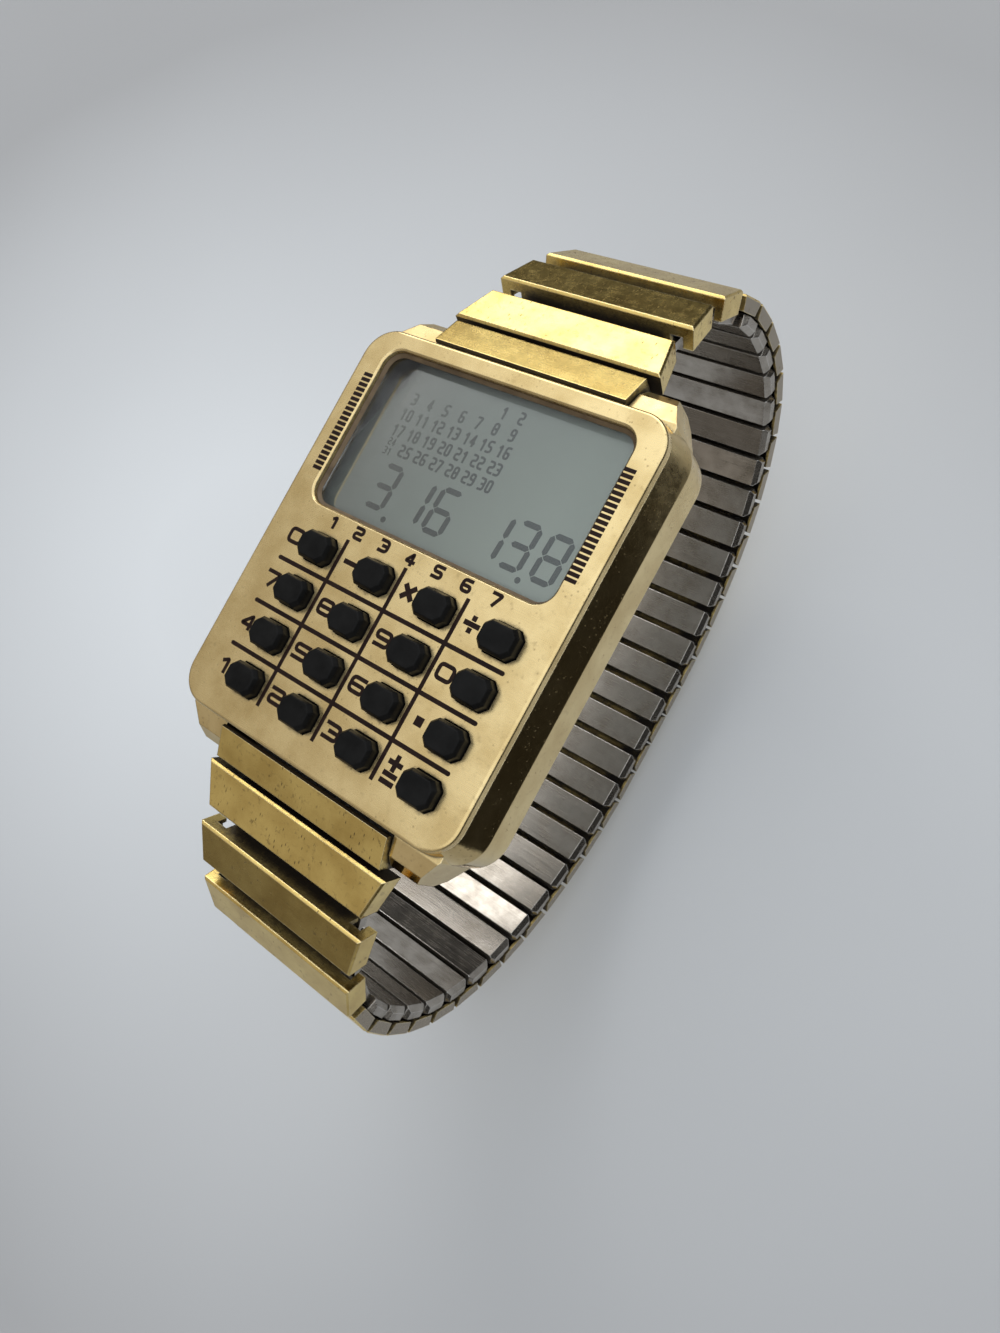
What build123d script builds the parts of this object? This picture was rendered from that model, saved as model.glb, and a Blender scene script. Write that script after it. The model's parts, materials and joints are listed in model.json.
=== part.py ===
"""Metal calculator watch on an expanding band, standing on the back of its band.

Millimetres. Z is up and is the way the face looks. Y points to twelve o'clock and
X to three o'clock. The origin is the middle of the footprint, on the resting plane.
"""
from math import atan2, cos, degrees, hypot, pi, radians, sin, sqrt
import os

from build123d import *

# Face plate, display opening and the margins of the key grid.
FACE_Z = 47.0
FACE_HALF_W = 15.45
FACE_HALF_L = 18.35
FACE_CORNER_R = 2.9
PLATE_T = 0.8
PLATE_EDGE_R = 0.3
WINDOW_IN_X = 2.5
WINDOW_IN_Y = 1.6
WINDOW_L = 15.1
WINDOW_R = 1.7
WINDOW_EDGE = 0.15
KEYS_FROM_LEFT = 6.65
KEYS_FROM_RIGHT = 4.45
KEYS_FROM_WINDOW = 3.545
KEYS_FROM_EDGE = 3.885

# Case body below the plate: sloped flank, upright band, taper to the back.
FLANK_DROP = 3.3
FLANK_OUT_X = 1.05
FLANK_OUT_Y = 0.4
FLANK_CORNER_R = 3.4
TAPER_H = 1.3
TAPER_IN_X = 1.5
TAPER_IN_Y = 1.15
TAPER_CORNER_R = 2.4
RIM_W = 1.55
RIM_L = 0.85
ROOM_R = 0.8
LEDGE_W = 0.6
LEDGE_R = 4.5

# Case back, its gasket and its screws, which stand outside the gasket's corners.
BACK_T = 0.8
BACK_IN = 0.3
BACK_R = 2.0
BACK_EDGE = 0.25
SCREW_TO_GASKET = 0.57
SCREW_SLANT = 38.5
SCREW_HEAD_R = 0.7
SCREW_HEAD_T = 0.35
SCREW_R = 0.4
SCREW_L = 2.0
SCREW_PLAY = 0.03
SLOT_W = 0.2
SLOT_T = 0.15
GASKET_IN = 0.15
GASKET_W = 0.4
GASKET_T = 0.3
GASKET_PLAY = 0.02

# Lugs and spring bars, measured from the edges of the face plate.
LUG_GAP = 19.8
LUG_OUT_IN = 0.95
LUG_TIP_IN = 1.7
LUG_ROOT_IN = 1.45
LUG_BEND_OUT = 0.1
LUG_BROW_OUT = 0.35
LUG_SLOPE_OUT = 1.95
LUG_END_OUT = 2.75
LUG_TOP_DROP = 1.6
LUG_SLOPE_DROP = 2.3
LUG_NOSE_DROP = 3.3
LUG_CHIN_DROP = 5.8
LUG_LOW_DROP = 6.6
BAR_OUT = 1.4
BAR_DROP = 5.0
BAR_R = 0.6
BAR_TIP_R = 0.35
BAR_TIP_L = 1.1
BAR_PLAY = 0.05
BAR_END_PLAY = 0.1

# Keys: four by four, each in its own hole of the plate.
KEY_NAMES = (
    ("clear", "minus", "times", "divide"),
    ("7", "8", "9", "0"),
    ("4", "5", "6", "point"),
    ("1", "2", "3", "equals"),
)
KEY_W = 3.3
KEY_L = 2.5
KEY_CUT = 0.55
KEY_STAND = 1.2
KEY_BEVEL_X = 0.2
KEY_BEVEL_Y = 0.2
KEY_BEVEL_Z = 0.4
KEY_HOLE_PLAY = 0.1
KEY_FLANGE = 0.35
KEY_FLANGE_T = 0.4
KEY_REST_GAP = 0.04
KEY_TRAVEL = 0.5
KEY_STEM_W = 1.7
KEY_STEM_L = 1.3
KEY_BOTTOM_GAP = 0.1

# Display stack under the plate.
GLASS_T = 0.9
GLASS_MARGIN = 0.45
STACK_GAP = 0.05
LCD_T = 1.1
LCD_IN = 0.15
REFLECTOR_T = 0.2
REFLECTOR_IN_X = 0.4
REFLECTOR_IN_Y = 1.4
HOLDER_PLAY = 0.1
HOLDER_LOW_RIM = 0.5
HOLDER_SIDE_PLAY = 0.08
HOLDER_R = 0.6
ZEBRA_W = 0.8
ZEBRA_H = 1.4
ZEBRA_IN_X = 1.0
ZEBRA_IN_Y = 0.25

# Key mat, circuit board and what hangs below it, placed from the ledge of the case.
BOARD_T = 0.6
BOARD_PLAY = 0.25
MAT_T = 0.4
MAT_TO_HOLDER = 0.3
MAT_IN = 0.3
MAT_RING_W = 0.45
MAT_RING_H = 0.9
MAT_RING_PLAY = 0.15
CHIP_SIZE = 6.0
CHIP_T = 0.9
CHIP_FROM_LEDGE = 7.9
CRYSTAL_R = 0.7
CRYSTAL_L = 6.0
CRYSTAL_FROM_SIDE = 4.7
CRYSTAL_FROM_LEDGE = 6.4
TRIMMER_R = 1.3
TRIMMER_T = 0.9
CELL_T = 2.05
CELL_CAN_SHARE = 0.8
CELL_CAP_IN = 0.7
CELL_HALF_GAP = 0.4
CELL_FROM_SIDE = 1.3
CELL_FROM_LEDGE = 2.1
CELL_TOP_GAP = 0.3
STRAP_T = 0.15
STRAP_W = 3.0
STRAP_PAST = 2.0
STRAP_ROOM = 0.4
POCKET_PLAY = 0.15
FRAME_PLAY = 0.15
FRAME_LIFT = 0.3
BUZZER_R = 6.0
BUZZER_T = 0.2
BUZZER_RIM = 1.7
BUZZER_DISC_T = 0.15
BUZZER_FROM_LEDGE = 8.9
BUZZER_ROOM = 0.3
MODULE_SCREW_FROM_SIDE = 2.3
MODULE_SCREW_FROM_CELL = 5.4
MODULE_SCREW_L = 2.6
MODULE_SCREW_SINK = 0.4

# The band runs round an oval: half width, middle height and the flat it stands on.
# The power squares the shoulders of the upper half, where two would be an ellipse.
# Its outer line comes up to the end pieces at a depth below the face.
LOOP_HALF_L = 38.4
LOOP_MID_Z = 23.5
LOOP_POWER = 2.55
LOOP_FLAT = 5.7
BAND_MEET_DROP = 2.75
LOOP_STEPS = 600
FLAT_STEPS = 60

# Narrow expanding part of the band: outer caps and inner links. The caps are
# counted from bottom centre up to the wide caps, whose distance sets their pitch.
CAP_COUNT = 15
UPPER_COUNT = 4
LOWER_COUNT = 3
CAP_GAP = 0.2
CAP_FOOT_IN = 0.4
CAP_W = 17.8
CAP_DEPTH = 1.4
CAP_WALL = 0.3
CAP_EDGE = 0.18
LINK_SHARE = 0.5
ROW_GAP = 0.16
LINK_GAP = 0.6
LINK_IN_X = 0.15
LINK_DEPTH = 1.25
LINK_WALL = 0.28
LINK_FOOT_IN = 0.12
LINK_END_CUT = 0.5
LINK_CORNER_CUT = 0.45
TONGUE_IN = 2.3
TONGUE_W = 1.3
TONGUE_T = 0.25
TONGUE_ROOM = 0.46
LEAF_T = 0.12
LEAF_W = 1.6
LEAF_TO_TONGUE = 1.1
LEAF_BOW = 0.45

# Wide cap links next to the case and the inner plates that join them. Each is
# narrower than the one before and tapers along its own length, the first one most.
WIDE_COUNT = 3
WIDE_PITCH = 5.6
WIDE_L = 4.1
WIDE_EXTRA_W = 3.4
WIDE_STEP = 1.2
WIDE_TAPER = 2.4
WIDE_DEPTH = 2.1
WIDE_PROUD = 0.35
WIDE_WALL = 0.4
WIDE_EDGE = 0.2
WIDE_FOOT_IN = 0.12
WIDE_NOTCH_W = 1.2
WIDE_NOTCH_H = 1.0
WIDE_TO_CAP = 0.8
PLATE_LINK_L = 4.7
PLATE_IN_X = 1.0
PLATE_LINK_T = 0.8
PLATE_LINK_GAP = 0.15
PLATE_RAIL_IN_X = 0.5
PLATE_RAIL_IN = 0.35
PLATE_RAIL_T = 0.4
PLATE_RAIL_RISE = 0.9
FIRST_PLATE_REACH = 2.5
FIRST_PLATE_PAST = 0.4
HOOK_R = 0.45
HOOK_PLAY = 0.05
LAST_PLATE_L = 3.7

# End pieces between the lugs, measured from the case and the face plate.
END_SIDE_PLAY = 0.1
END_CASE_PLAY = 0.2
END_BROW_OUT = 0.45
END_CROWN_OUT = 0.65
END_LIP_OUT = 3.3
END_CHIN_OUT = 2.75
END_LOW_OUT = 2.25
END_CROWN_DROP = 1.0
END_BROW_DROP = 1.25
END_LIP_DROP = 2.3
END_CHIN_DROP = 5.4
END_LOW_DROP = 6.3

# Places worked out from the face plate and the room in the case.
ROOM_HALF_W = FACE_HALF_W - RIM_W
ROOM_HALF_L = FACE_HALF_L - RIM_L
LEDGE_HALF_W = ROOM_HALF_W - LEDGE_W
LEDGE_HALF_L = ROOM_HALF_L - LEDGE_W
WINDOW_HALF_W = FACE_HALF_W - WINDOW_IN_X
WINDOW_HIGH_Y = FACE_HALF_L - WINDOW_IN_Y
WINDOW_LOW_Y = WINDOW_HIGH_Y - WINDOW_L
WINDOW_MID_Y = (WINDOW_LOW_Y + WINDOW_HIGH_Y) / 2
WINDOW_HALF_L = WINDOW_L / 2
KEY_LEFT_X = KEYS_FROM_LEFT - FACE_HALF_W
KEY_RIGHT_X = FACE_HALF_W - KEYS_FROM_RIGHT
KEY_TOP_Y = WINDOW_LOW_Y - KEYS_FROM_WINDOW
KEY_LOW_Y = KEYS_FROM_EDGE - FACE_HALF_L
KEY_PITCH_X = (KEY_RIGHT_X - KEY_LEFT_X) / (len(KEY_NAMES[0]) - 1)
KEY_PITCH_Y = (KEY_TOP_Y - KEY_LOW_Y) / (len(KEY_NAMES) - 1)
GLASS_HALF_W = WINDOW_HALF_W + GLASS_MARGIN
GLASS_HALF_L = WINDOW_HALF_L + GLASS_MARGIN
HOLDER_LOW_Y = WINDOW_MID_Y - GLASS_HALF_L - HOLDER_PLAY - HOLDER_LOW_RIM
MAT_HIGH_Y = HOLDER_LOW_Y - MAT_TO_HOLDER
CELL_R = (LEDGE_HALF_W - CELL_FROM_SIDE - CELL_HALF_GAP) / 2
CELL_X = CELL_R + CELL_HALF_GAP
CELL_Y = CELL_R + CELL_FROM_LEDGE - LEDGE_HALF_L
CHIP_Y = LEDGE_HALF_L - CHIP_FROM_LEDGE
CRYSTAL_X = LEDGE_HALF_W - CRYSTAL_FROM_SIDE
CRYSTAL_Y = LEDGE_HALF_L - CRYSTAL_FROM_LEDGE
BUZZER_Y = LEDGE_HALF_L - BUZZER_FROM_LEDGE
MODULE_SCREW_X = LEDGE_HALF_W - MODULE_SCREW_FROM_SIDE
MODULE_SCREW_Y = CELL_Y + CELL_R + MODULE_SCREW_FROM_CELL
BACK_HALF_W = FACE_HALF_W + FLANK_OUT_X - TAPER_IN_X - BACK_IN
BACK_HALF_L = FACE_HALF_L + FLANK_OUT_Y - TAPER_IN_Y - BACK_IN
SCREW_OUT = LEDGE_R + GASKET_IN + GASKET_W + SCREW_TO_GASKET
BACK_SCREW_X = LEDGE_HALF_W - LEDGE_R + SCREW_OUT * cos(radians(SCREW_SLANT))
BACK_SCREW_Y = LEDGE_HALF_L - LEDGE_R + SCREW_OUT * sin(radians(SCREW_SLANT))

# Heights, from the face down.
PLATE_LOW_Z = FACE_Z - PLATE_T
GLASS_LOW_Z = PLATE_LOW_Z - STACK_GAP - GLASS_T
LCD_LOW_Z = GLASS_LOW_Z - STACK_GAP - LCD_T
BOARD_TOP_Z = LCD_LOW_Z - ZEBRA_H
BOARD_LOW_Z = BOARD_TOP_Z - BOARD_T
CELL_LOW_Z = BOARD_LOW_Z - CELL_TOP_GAP - CELL_T
BODY_LOW_Z = CELL_LOW_Z - STRAP_T - STRAP_ROOM
BACK_LOW_Z = BODY_LOW_Z - BACK_T
FRAME_LOW_Z = BODY_LOW_Z + FRAME_LIFT
FLANGE_TOP_Z = PLATE_LOW_Z - KEY_REST_GAP
FLANGE_LOW_Z = FLANGE_TOP_Z - KEY_FLANGE_T
MAT_TOP_Z = BOARD_TOP_Z + MAT_T

# Lugs, spring bars and end pieces.
LUG_OUT_X = FACE_HALF_W - LUG_OUT_IN
LUG_TIP_X = LUG_OUT_X - LUG_TIP_IN
LUG_ROOT_Y = FACE_HALF_L - LUG_ROOT_IN
LUG_BEND_Y = FACE_HALF_L + LUG_BEND_OUT
LUG_BROW_Y = FACE_HALF_L + LUG_BROW_OUT
LUG_SLOPE_Y = FACE_HALF_L + LUG_SLOPE_OUT
LUG_END_Y = FACE_HALF_L + LUG_END_OUT
BAR_Y = FACE_HALF_L + BAR_OUT
END_HALF_W = LUG_GAP / 2 - END_SIDE_PLAY
END_CASE_Y = FACE_HALF_L + FLANK_OUT_Y + END_CASE_PLAY
END_LIP_Y = FACE_HALF_L + END_LIP_OUT

# Rows of the band, measured outwards from the line midway between them.
MIDDLE = CAP_DEPTH + ROW_GAP / 2
CAP_TOP = MIDDLE
LINK_TOP = -ROW_GAP / 2
WIDE_TOP = MIDDLE + WIDE_PROUD
PLATE_LINK_TOP = WIDE_TOP - WIDE_DEPTH - PLATE_LINK_GAP
LINK_HALF_W = CAP_W / 2 - LINK_IN_X
TONGUE_X = CAP_W / 2 - TONGUE_IN
TONGUE_RISE = CAP_DEPTH + ROW_GAP - CAP_WALL - TONGUE_ROOM
LEAF_HALF_L = TONGUE_X - LEAF_TO_TONGUE
PLATE_HALF_W = CAP_W / 2 - PLATE_IN_X
PLATE_RAIL_X = PLATE_HALF_W - PLATE_RAIL_IN_X
BACK_COUNT = CAP_COUNT - UPPER_COUNT - LOWER_COUNT
UPPER_CAPS = range(CAP_COUNT, CAP_COUNT - UPPER_COUNT, -1)
LOWER_CAPS = range(BACK_COUNT + LOWER_COUNT, BACK_COUNT, -1)
BACK_CAPS = range(BACK_COUNT, 0, -1)


def rounded(half_w, half_l, corner):
    """Rounded rectangle about the centre, from its half sizes."""
    return RectangleRounded(half_w + half_w, half_l + half_l, corner)


def square(half_w, half_l):
    """Sharp rectangle about the centre, from its half sizes."""
    return Rectangle(half_w + half_w, half_l + half_l)


def octagon(half_w, half_l, cut):
    """Rectangle about the centre with its corners cut off, from its half sizes."""
    flat_w = half_w - cut
    flat_l = half_l - cut
    points = [(half_w, flat_l), (flat_w, half_l), (-flat_w, half_l), (-half_w, flat_l),
              (-half_w, -flat_l), (-flat_w, -half_l), (flat_w, -half_l), (half_w, -flat_l)]
    return make_face(Polyline(*points, close=True))


def prism(outline, low_z, high_z, x=0, y=0):
    """Upright prism of a flat outline between two heights."""
    return Pos(x, y, low_z) * extrude(outline, high_z - low_z)


def disc(radius, low_z, high_z, x=0, y=0):
    """Upright round piece between two heights."""
    return prism(Circle(radius), low_z, high_z, x, y)


def bar_x(radius, near_x, far_x, y, z):
    """Round bar along X between two places."""
    return Pos(near_x, y, z) * extrude(Plane.YZ * Circle(radius), far_x - near_x)


def side_shape(points, half_width):
    """Solid with a side outline given as (along, outward), spread along X."""
    face = Plane.YZ * make_face(Polyline(*points, close=True))
    return extrude(face, half_width, both=True)


def box(low, high):
    """Box between two corners."""
    size = [high[i] - low[i] for i in range(len(low))]
    middle = [(high[i] + low[i]) / 2 for i in range(len(low))]
    return Pos(*middle) * Box(*size)


def group(shapes):
    """Several solids that share a node."""
    return Compound(children=[solid for shape in shapes for solid in shape.solids()])


def other_side(shape):
    """The six o'clock twin of a twelve o'clock piece."""
    return mirror(shape, Plane.XZ)


def loop_rise():
    """Height of the loop's top over its middle, so that it comes up to the end pieces."""
    share = 1 - (END_LIP_Y / LOOP_HALF_L) ** LOOP_POWER
    return (FACE_Z - BAND_MEET_DROP - LOOP_MID_Z) / share ** (1 / LOOP_POWER)


def loop_table():
    """Half of the loop, from bottom centre up the twelve o'clock side to the top.

    Each entry is the distance run, y and z, on the line midway between the two
    rows of links."""
    outline = []
    for i in range(FLAT_STEPS):
        outline.append((LOOP_FLAT * i / FLAT_STEPS, 0.0, pi))
    half = LOOP_HALF_L - LOOP_FLAT
    rise = loop_rise()
    for i in range(LOOP_STEPS + 1):
        a = pi / 2 * i / LOOP_STEPS
        turn = atan2(LOOP_MID_Z * sin(a), -half * cos(a))
        outline.append((LOOP_FLAT + half * sin(a), LOOP_MID_Z * (1 - cos(a)), turn))
    for i in range(1, LOOP_STEPS):
        a = pi / 2 * i / LOOP_STEPS
        out = cos(a) ** (2 / LOOP_POWER)
        up = sin(a) ** (2 / LOOP_POWER)
        turn = atan2(rise * out ** (LOOP_POWER - 1), LOOP_HALF_L * up ** (LOOP_POWER - 1))
        outline.append((LOOP_HALF_L * out, LOOP_MID_Z + rise * up, turn))
    table = []
    run = 0.0
    for y, z, turn in outline:
        y -= MIDDLE * sin(turn)
        z -= MIDDLE * cos(turn)
        if table:
            run += hypot(y - table[-1][1], z - table[-1][2])
        table.append((run, y, z))
    return table


LOOP = loop_table()


def meeting_run():
    """Distance along the middle line at which it comes up to the end piece."""
    for near, far in zip(LOOP, LOOP[1:]):
        if near[2] > LOOP_MID_Z and far[1] <= END_LIP_Y:
            share = (near[1] - END_LIP_Y) / (near[1] - far[1])
            return near[0] + share * (far[0] - near[0])
    raise ValueError("the loop stays outside the end pieces")


FIRST_WIDE_RUN = meeting_run() - WIDE_L / 2
LAST_WIDE_RUN = FIRST_WIDE_RUN - (WIDE_COUNT - 1) * WIDE_PITCH
LAST_CAP_EDGE = LAST_WIDE_RUN - WIDE_L / 2 - WIDE_TO_CAP
CAP_PITCH = (LAST_CAP_EDGE + CAP_GAP / 2) / (CAP_COUNT + 1 / 2)
CAP_L = CAP_PITCH - CAP_GAP
LINK_L = CAP_PITCH - LINK_GAP


def loop_at(run):
    """Place on the middle line at a distance from bottom centre: y and z."""
    if run < 0:
        y, z = loop_at(-run)
        return -y, z
    for near, far in zip(LOOP, LOOP[1:]):
        if far[0] >= run:
            share = (run - near[0]) / (far[0] - near[0])
            return near[1] + share * (far[1] - near[1]), near[2] + share * (far[2] - near[2])
    raise ValueError("past the top of the loop")


def seat_at(run):
    """Middle and turn of a link whose two ends lie on the middle line: y, z, turn.

    The turn is how far its outward side has tipped from straight up."""
    near_y, near_z = loop_at(run - CAP_PITCH / 2)
    far_y, far_z = loop_at(run + CAP_PITCH / 2)
    turn = atan2(far_z - near_z, near_y - far_y)
    return (near_y + far_y) / 2, (near_z + far_z) / 2, turn


def on_loop(shape, run):
    """A link drawn about the middle line, outward side up, moved to its place.

    Its own Y then points down the band, away from the case."""
    y, z, turn = seat_at(run)
    return Pos(0, y, z) * Rot(-degrees(turn), 0, 0) * shape


def key_places():
    """Name and centre of each key, row by row down from the display."""
    places = []
    for row, names in enumerate(KEY_NAMES):
        for column, name in enumerate(names):
            x = KEY_LEFT_X + KEY_PITCH_X * column
            y = KEY_TOP_Y - KEY_PITCH_Y * row
            places.append((name, x, y))
    return places


def corners(x, y):
    """Four mirrored places."""
    return [(sx * x, sy * y) for sx in (1, -1) for sy in (1, -1)]


def face_plate():
    """Thin top plate with the display opening and sixteen key holes."""
    plate = prism(rounded(FACE_HALF_W, FACE_HALF_L, FACE_CORNER_R), PLATE_LOW_Z, FACE_Z)
    rim = plate.faces().sort_by(Axis.Z)[-1].edges()
    plate = fillet(rim, PLATE_EDGE_R)
    window = rounded(WINDOW_HALF_W, WINDOW_HALF_L, WINDOW_R)
    plate -= prism(window, PLATE_LOW_Z, FACE_Z, 0, WINDOW_MID_Y)
    inner = [e for e in plate.faces().sort_by(Axis.Z)[-1].inner_wires()[0].edges()]
    plate = chamfer(inner, WINDOW_EDGE)
    cut = KEY_CUT + KEY_HOLE_PLAY * (2 - sqrt(2))
    hole = octagon(KEY_W / 2 + KEY_HOLE_PLAY, KEY_L / 2 + KEY_HOLE_PLAY, cut)
    for name, x, y in key_places():
        plate -= prism(hole, PLATE_LOW_Z, FACE_Z, x, y)
    return plate


def lug(side_x, side_y):
    """One ear, from its side outline and its outline from above."""
    side = [
        (LUG_ROOT_Y, FACE_Z - LUG_TOP_DROP),
        (LUG_BROW_Y, FACE_Z - LUG_TOP_DROP),
        (LUG_SLOPE_Y, FACE_Z - LUG_SLOPE_DROP),
        (LUG_END_Y, FACE_Z - LUG_NOSE_DROP),
        (LUG_END_Y, FACE_Z - LUG_CHIN_DROP),
        (LUG_SLOPE_Y, FACE_Z - LUG_LOW_DROP),
        (LUG_ROOT_Y, FACE_Z - LUG_LOW_DROP),
    ]
    above = [
        (LUG_GAP / 2, LUG_ROOT_Y),
        (LUG_GAP / 2, LUG_END_Y),
        (LUG_TIP_X, LUG_END_Y),
        (LUG_OUT_X, LUG_BEND_Y),
        (LUG_OUT_X, LUG_ROOT_Y),
    ]
    outline = make_face(Polyline(*above, close=True))
    ear = side_shape(side, LUG_OUT_X) & prism(outline, BACK_LOW_Z, FACE_Z)
    tip = BAR_TIP_R + BAR_PLAY
    reach = LUG_GAP / 2 + BAR_TIP_L + BAR_END_PLAY
    ear -= bar_x(tip, 0, reach, BAR_Y, FACE_Z - BAR_DROP)
    if side_x < 0:
        ear = mirror(ear, Plane.YZ)
    return ear if side_y > 0 else other_side(ear)


def case_body():
    """Gold ring of the case with sloped flanks, four lugs and the room inside."""
    top = Pos(0, 0, PLATE_LOW_Z) * rounded(FACE_HALF_W, FACE_HALF_L, FACE_CORNER_R)
    wide_w = FACE_HALF_W + FLANK_OUT_X
    wide_l = FACE_HALF_L + FLANK_OUT_Y
    brow = Pos(0, 0, FACE_Z - FLANK_DROP) * rounded(wide_w, wide_l, FLANK_CORNER_R)
    hip = Pos(0, 0, BODY_LOW_Z + TAPER_H) * rounded(wide_w, wide_l, FLANK_CORNER_R)
    low = rounded(wide_w - TAPER_IN_X, wide_l - TAPER_IN_Y, TAPER_CORNER_R)
    body = loft([top, brow], ruled=True)
    body += loft([brow, hip], ruled=True)
    body += loft([hip, Pos(0, 0, BODY_LOW_Z) * low], ruled=True)
    for side_x, side_y in corners(1, 1):
        body += lug(side_x, side_y)
    body -= prism(rounded(ROOM_HALF_W, ROOM_HALF_L, ROOM_R), BOARD_LOW_Z, PLATE_LOW_Z)
    body -= prism(rounded(LEDGE_HALF_W, LEDGE_HALF_L, LEDGE_R), BODY_LOW_Z, BOARD_LOW_Z)
    body -= gasket_ring(GASKET_IN, GASKET_W, GASKET_T)
    hole_r = SCREW_R + SCREW_PLAY
    for x, y in corners(BACK_SCREW_X, BACK_SCREW_Y):
        body -= disc(hole_r, BODY_LOW_Z, BODY_LOW_Z + SCREW_L, x, y)
    return body


def gasket_ring(inset, width, height):
    """Ring that follows the rim of the lower room, standing on the case back."""
    near = rounded(LEDGE_HALF_W + inset, LEDGE_HALF_L + inset, LEDGE_R + inset)
    far = inset + width
    outer = rounded(LEDGE_HALF_W + far, LEDGE_HALF_L + far, LEDGE_R + far)
    return prism(outer - near, BODY_LOW_Z, BODY_LOW_Z + height)


def back_gasket():
    """Rubber ring in the groove of the case body."""
    inset = GASKET_IN + GASKET_PLAY
    width = GASKET_W - GASKET_PLAY - GASKET_PLAY
    return gasket_ring(inset, width, GASKET_T - GASKET_PLAY)


def case_back():
    """Steel plate that closes the case from below."""
    back = prism(rounded(BACK_HALF_W, BACK_HALF_L, BACK_R), BACK_LOW_Z, BODY_LOW_Z)
    rim = back.faces().sort_by(Axis.Z)[0].edges()
    back = chamfer(rim, BACK_EDGE)
    sink = SCREW_HEAD_T + SCREW_PLAY
    for x, y in corners(BACK_SCREW_X, BACK_SCREW_Y):
        back -= disc(SCREW_R + SCREW_PLAY, BACK_LOW_Z, BODY_LOW_Z, x, y)
        back -= disc(SCREW_HEAD_R + SCREW_PLAY, BACK_LOW_Z, BACK_LOW_Z + sink, x, y)
    return back


def screw(x, y, head_z, shank):
    """Small slotted screw driven upwards, its head's underside outermost."""
    head = disc(SCREW_HEAD_R, head_z, head_z + SCREW_HEAD_T, x, y)
    slot = box((x - SCREW_HEAD_R, y - SLOT_W / 2, head_z),
               (x + SCREW_HEAD_R, y + SLOT_W / 2, head_z + SLOT_T))
    return head - slot + disc(SCREW_R, head_z + SCREW_HEAD_T, head_z + shank, x, y)


def case_back_screws():
    """Four screws in the corners of the back."""
    places = corners(BACK_SCREW_X, BACK_SCREW_Y)
    return group([screw(x, y, BACK_LOW_Z, SCREW_L) for x, y in places])


def key(x, y):
    """One key: bevelled top, flange that keeps it in, stem below."""
    base = octagon(KEY_W / 2, KEY_L / 2, KEY_CUT)
    shoulder_z = FACE_Z + KEY_STAND - KEY_BEVEL_Z
    crown = octagon(KEY_W / 2 - KEY_BEVEL_X, KEY_L / 2 - KEY_BEVEL_Y, KEY_CUT)
    sections = [Pos(0, 0, shoulder_z) * base, Pos(0, 0, FACE_Z + KEY_STAND) * crown]
    top = loft(sections, ruled=True)
    shape = top + prism(base, FLANGE_LOW_Z, shoulder_z)
    wide = KEY_FLANGE + KEY_FLANGE
    shape += prism(Rectangle(KEY_W + wide, KEY_L + wide), FLANGE_LOW_Z, FLANGE_TOP_Z)
    stem = Rectangle(KEY_STEM_W, KEY_STEM_L)
    shape += prism(stem, MAT_TOP_Z + KEY_BOTTOM_GAP + KEY_TRAVEL, FLANGE_LOW_Z)
    return Pos(x, y, 0) * shape


def key_mat():
    """Rubber sheet on the board with a sleeve under each key."""
    far_w = ROOM_HALF_W - MAT_IN
    mat = box((-far_w, MAT_IN - ROOM_HALF_L, BOARD_TOP_Z), (far_w, MAT_HIGH_Y, MAT_TOP_Z))
    play = MAT_RING_PLAY + MAT_RING_PLAY
    ring = MAT_RING_W + MAT_RING_W
    hole = Rectangle(KEY_STEM_W + play, KEY_STEM_L + play)
    sleeve = Rectangle(KEY_STEM_W + play + ring, KEY_STEM_L + play + ring) - hole
    for name, x, y in key_places():
        mat += prism(sleeve, MAT_TOP_Z, MAT_TOP_Z + MAT_RING_H, x, y)
    return mat


def display_glass():
    """Clear window under the plate."""
    outline = rounded(GLASS_HALF_W, GLASS_HALF_L, WINDOW_R)
    return prism(outline, GLASS_LOW_Z, GLASS_LOW_Z + GLASS_T, 0, WINDOW_MID_Y)


def lcd_panel():
    """Liquid crystal panel."""
    outline = square(GLASS_HALF_W - LCD_IN, GLASS_HALF_L - LCD_IN)
    return prism(outline, LCD_LOW_Z, LCD_LOW_Z + LCD_T, 0, WINDOW_MID_Y)


def lcd_reflector():
    """Grey foil behind the panel."""
    outline = square(GLASS_HALF_W - REFLECTOR_IN_X, GLASS_HALF_L - REFLECTOR_IN_Y)
    top = LCD_LOW_Z - STACK_GAP
    return prism(outline, top - REFLECTOR_T, top, 0, WINDOW_MID_Y)


def display_holder():
    """Black frame that carries the window and the panel on the board."""
    far_w = ROOM_HALF_W - HOLDER_SIDE_PLAY
    far_l = ROOM_HALF_L - HOLDER_SIDE_PLAY
    top = PLATE_LOW_Z - STACK_GAP
    frame = prism(rounded(far_w, far_l, ROOM_R), BOARD_TOP_Z, top)
    frame &= box((-far_w, HOLDER_LOW_Y, BOARD_TOP_Z), (far_w, far_l, top))
    room = rounded(GLASS_HALF_W + HOLDER_PLAY, GLASS_HALF_L + HOLDER_PLAY, HOLDER_R)
    return frame - prism(room, BOARD_TOP_Z, PLATE_LOW_Z, 0, WINDOW_MID_Y)


def zebra_strips():
    """Two rubber contact strips between panel and board."""
    reach = GLASS_HALF_L - LCD_IN - ZEBRA_IN_Y - ZEBRA_W / 2
    strip = square(GLASS_HALF_W - ZEBRA_IN_X, ZEBRA_W / 2)
    places = (WINDOW_MID_Y - reach, WINDOW_MID_Y + reach)
    return group([prism(strip, BOARD_TOP_Z, LCD_LOW_Z, 0, y) for y in places])


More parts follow.
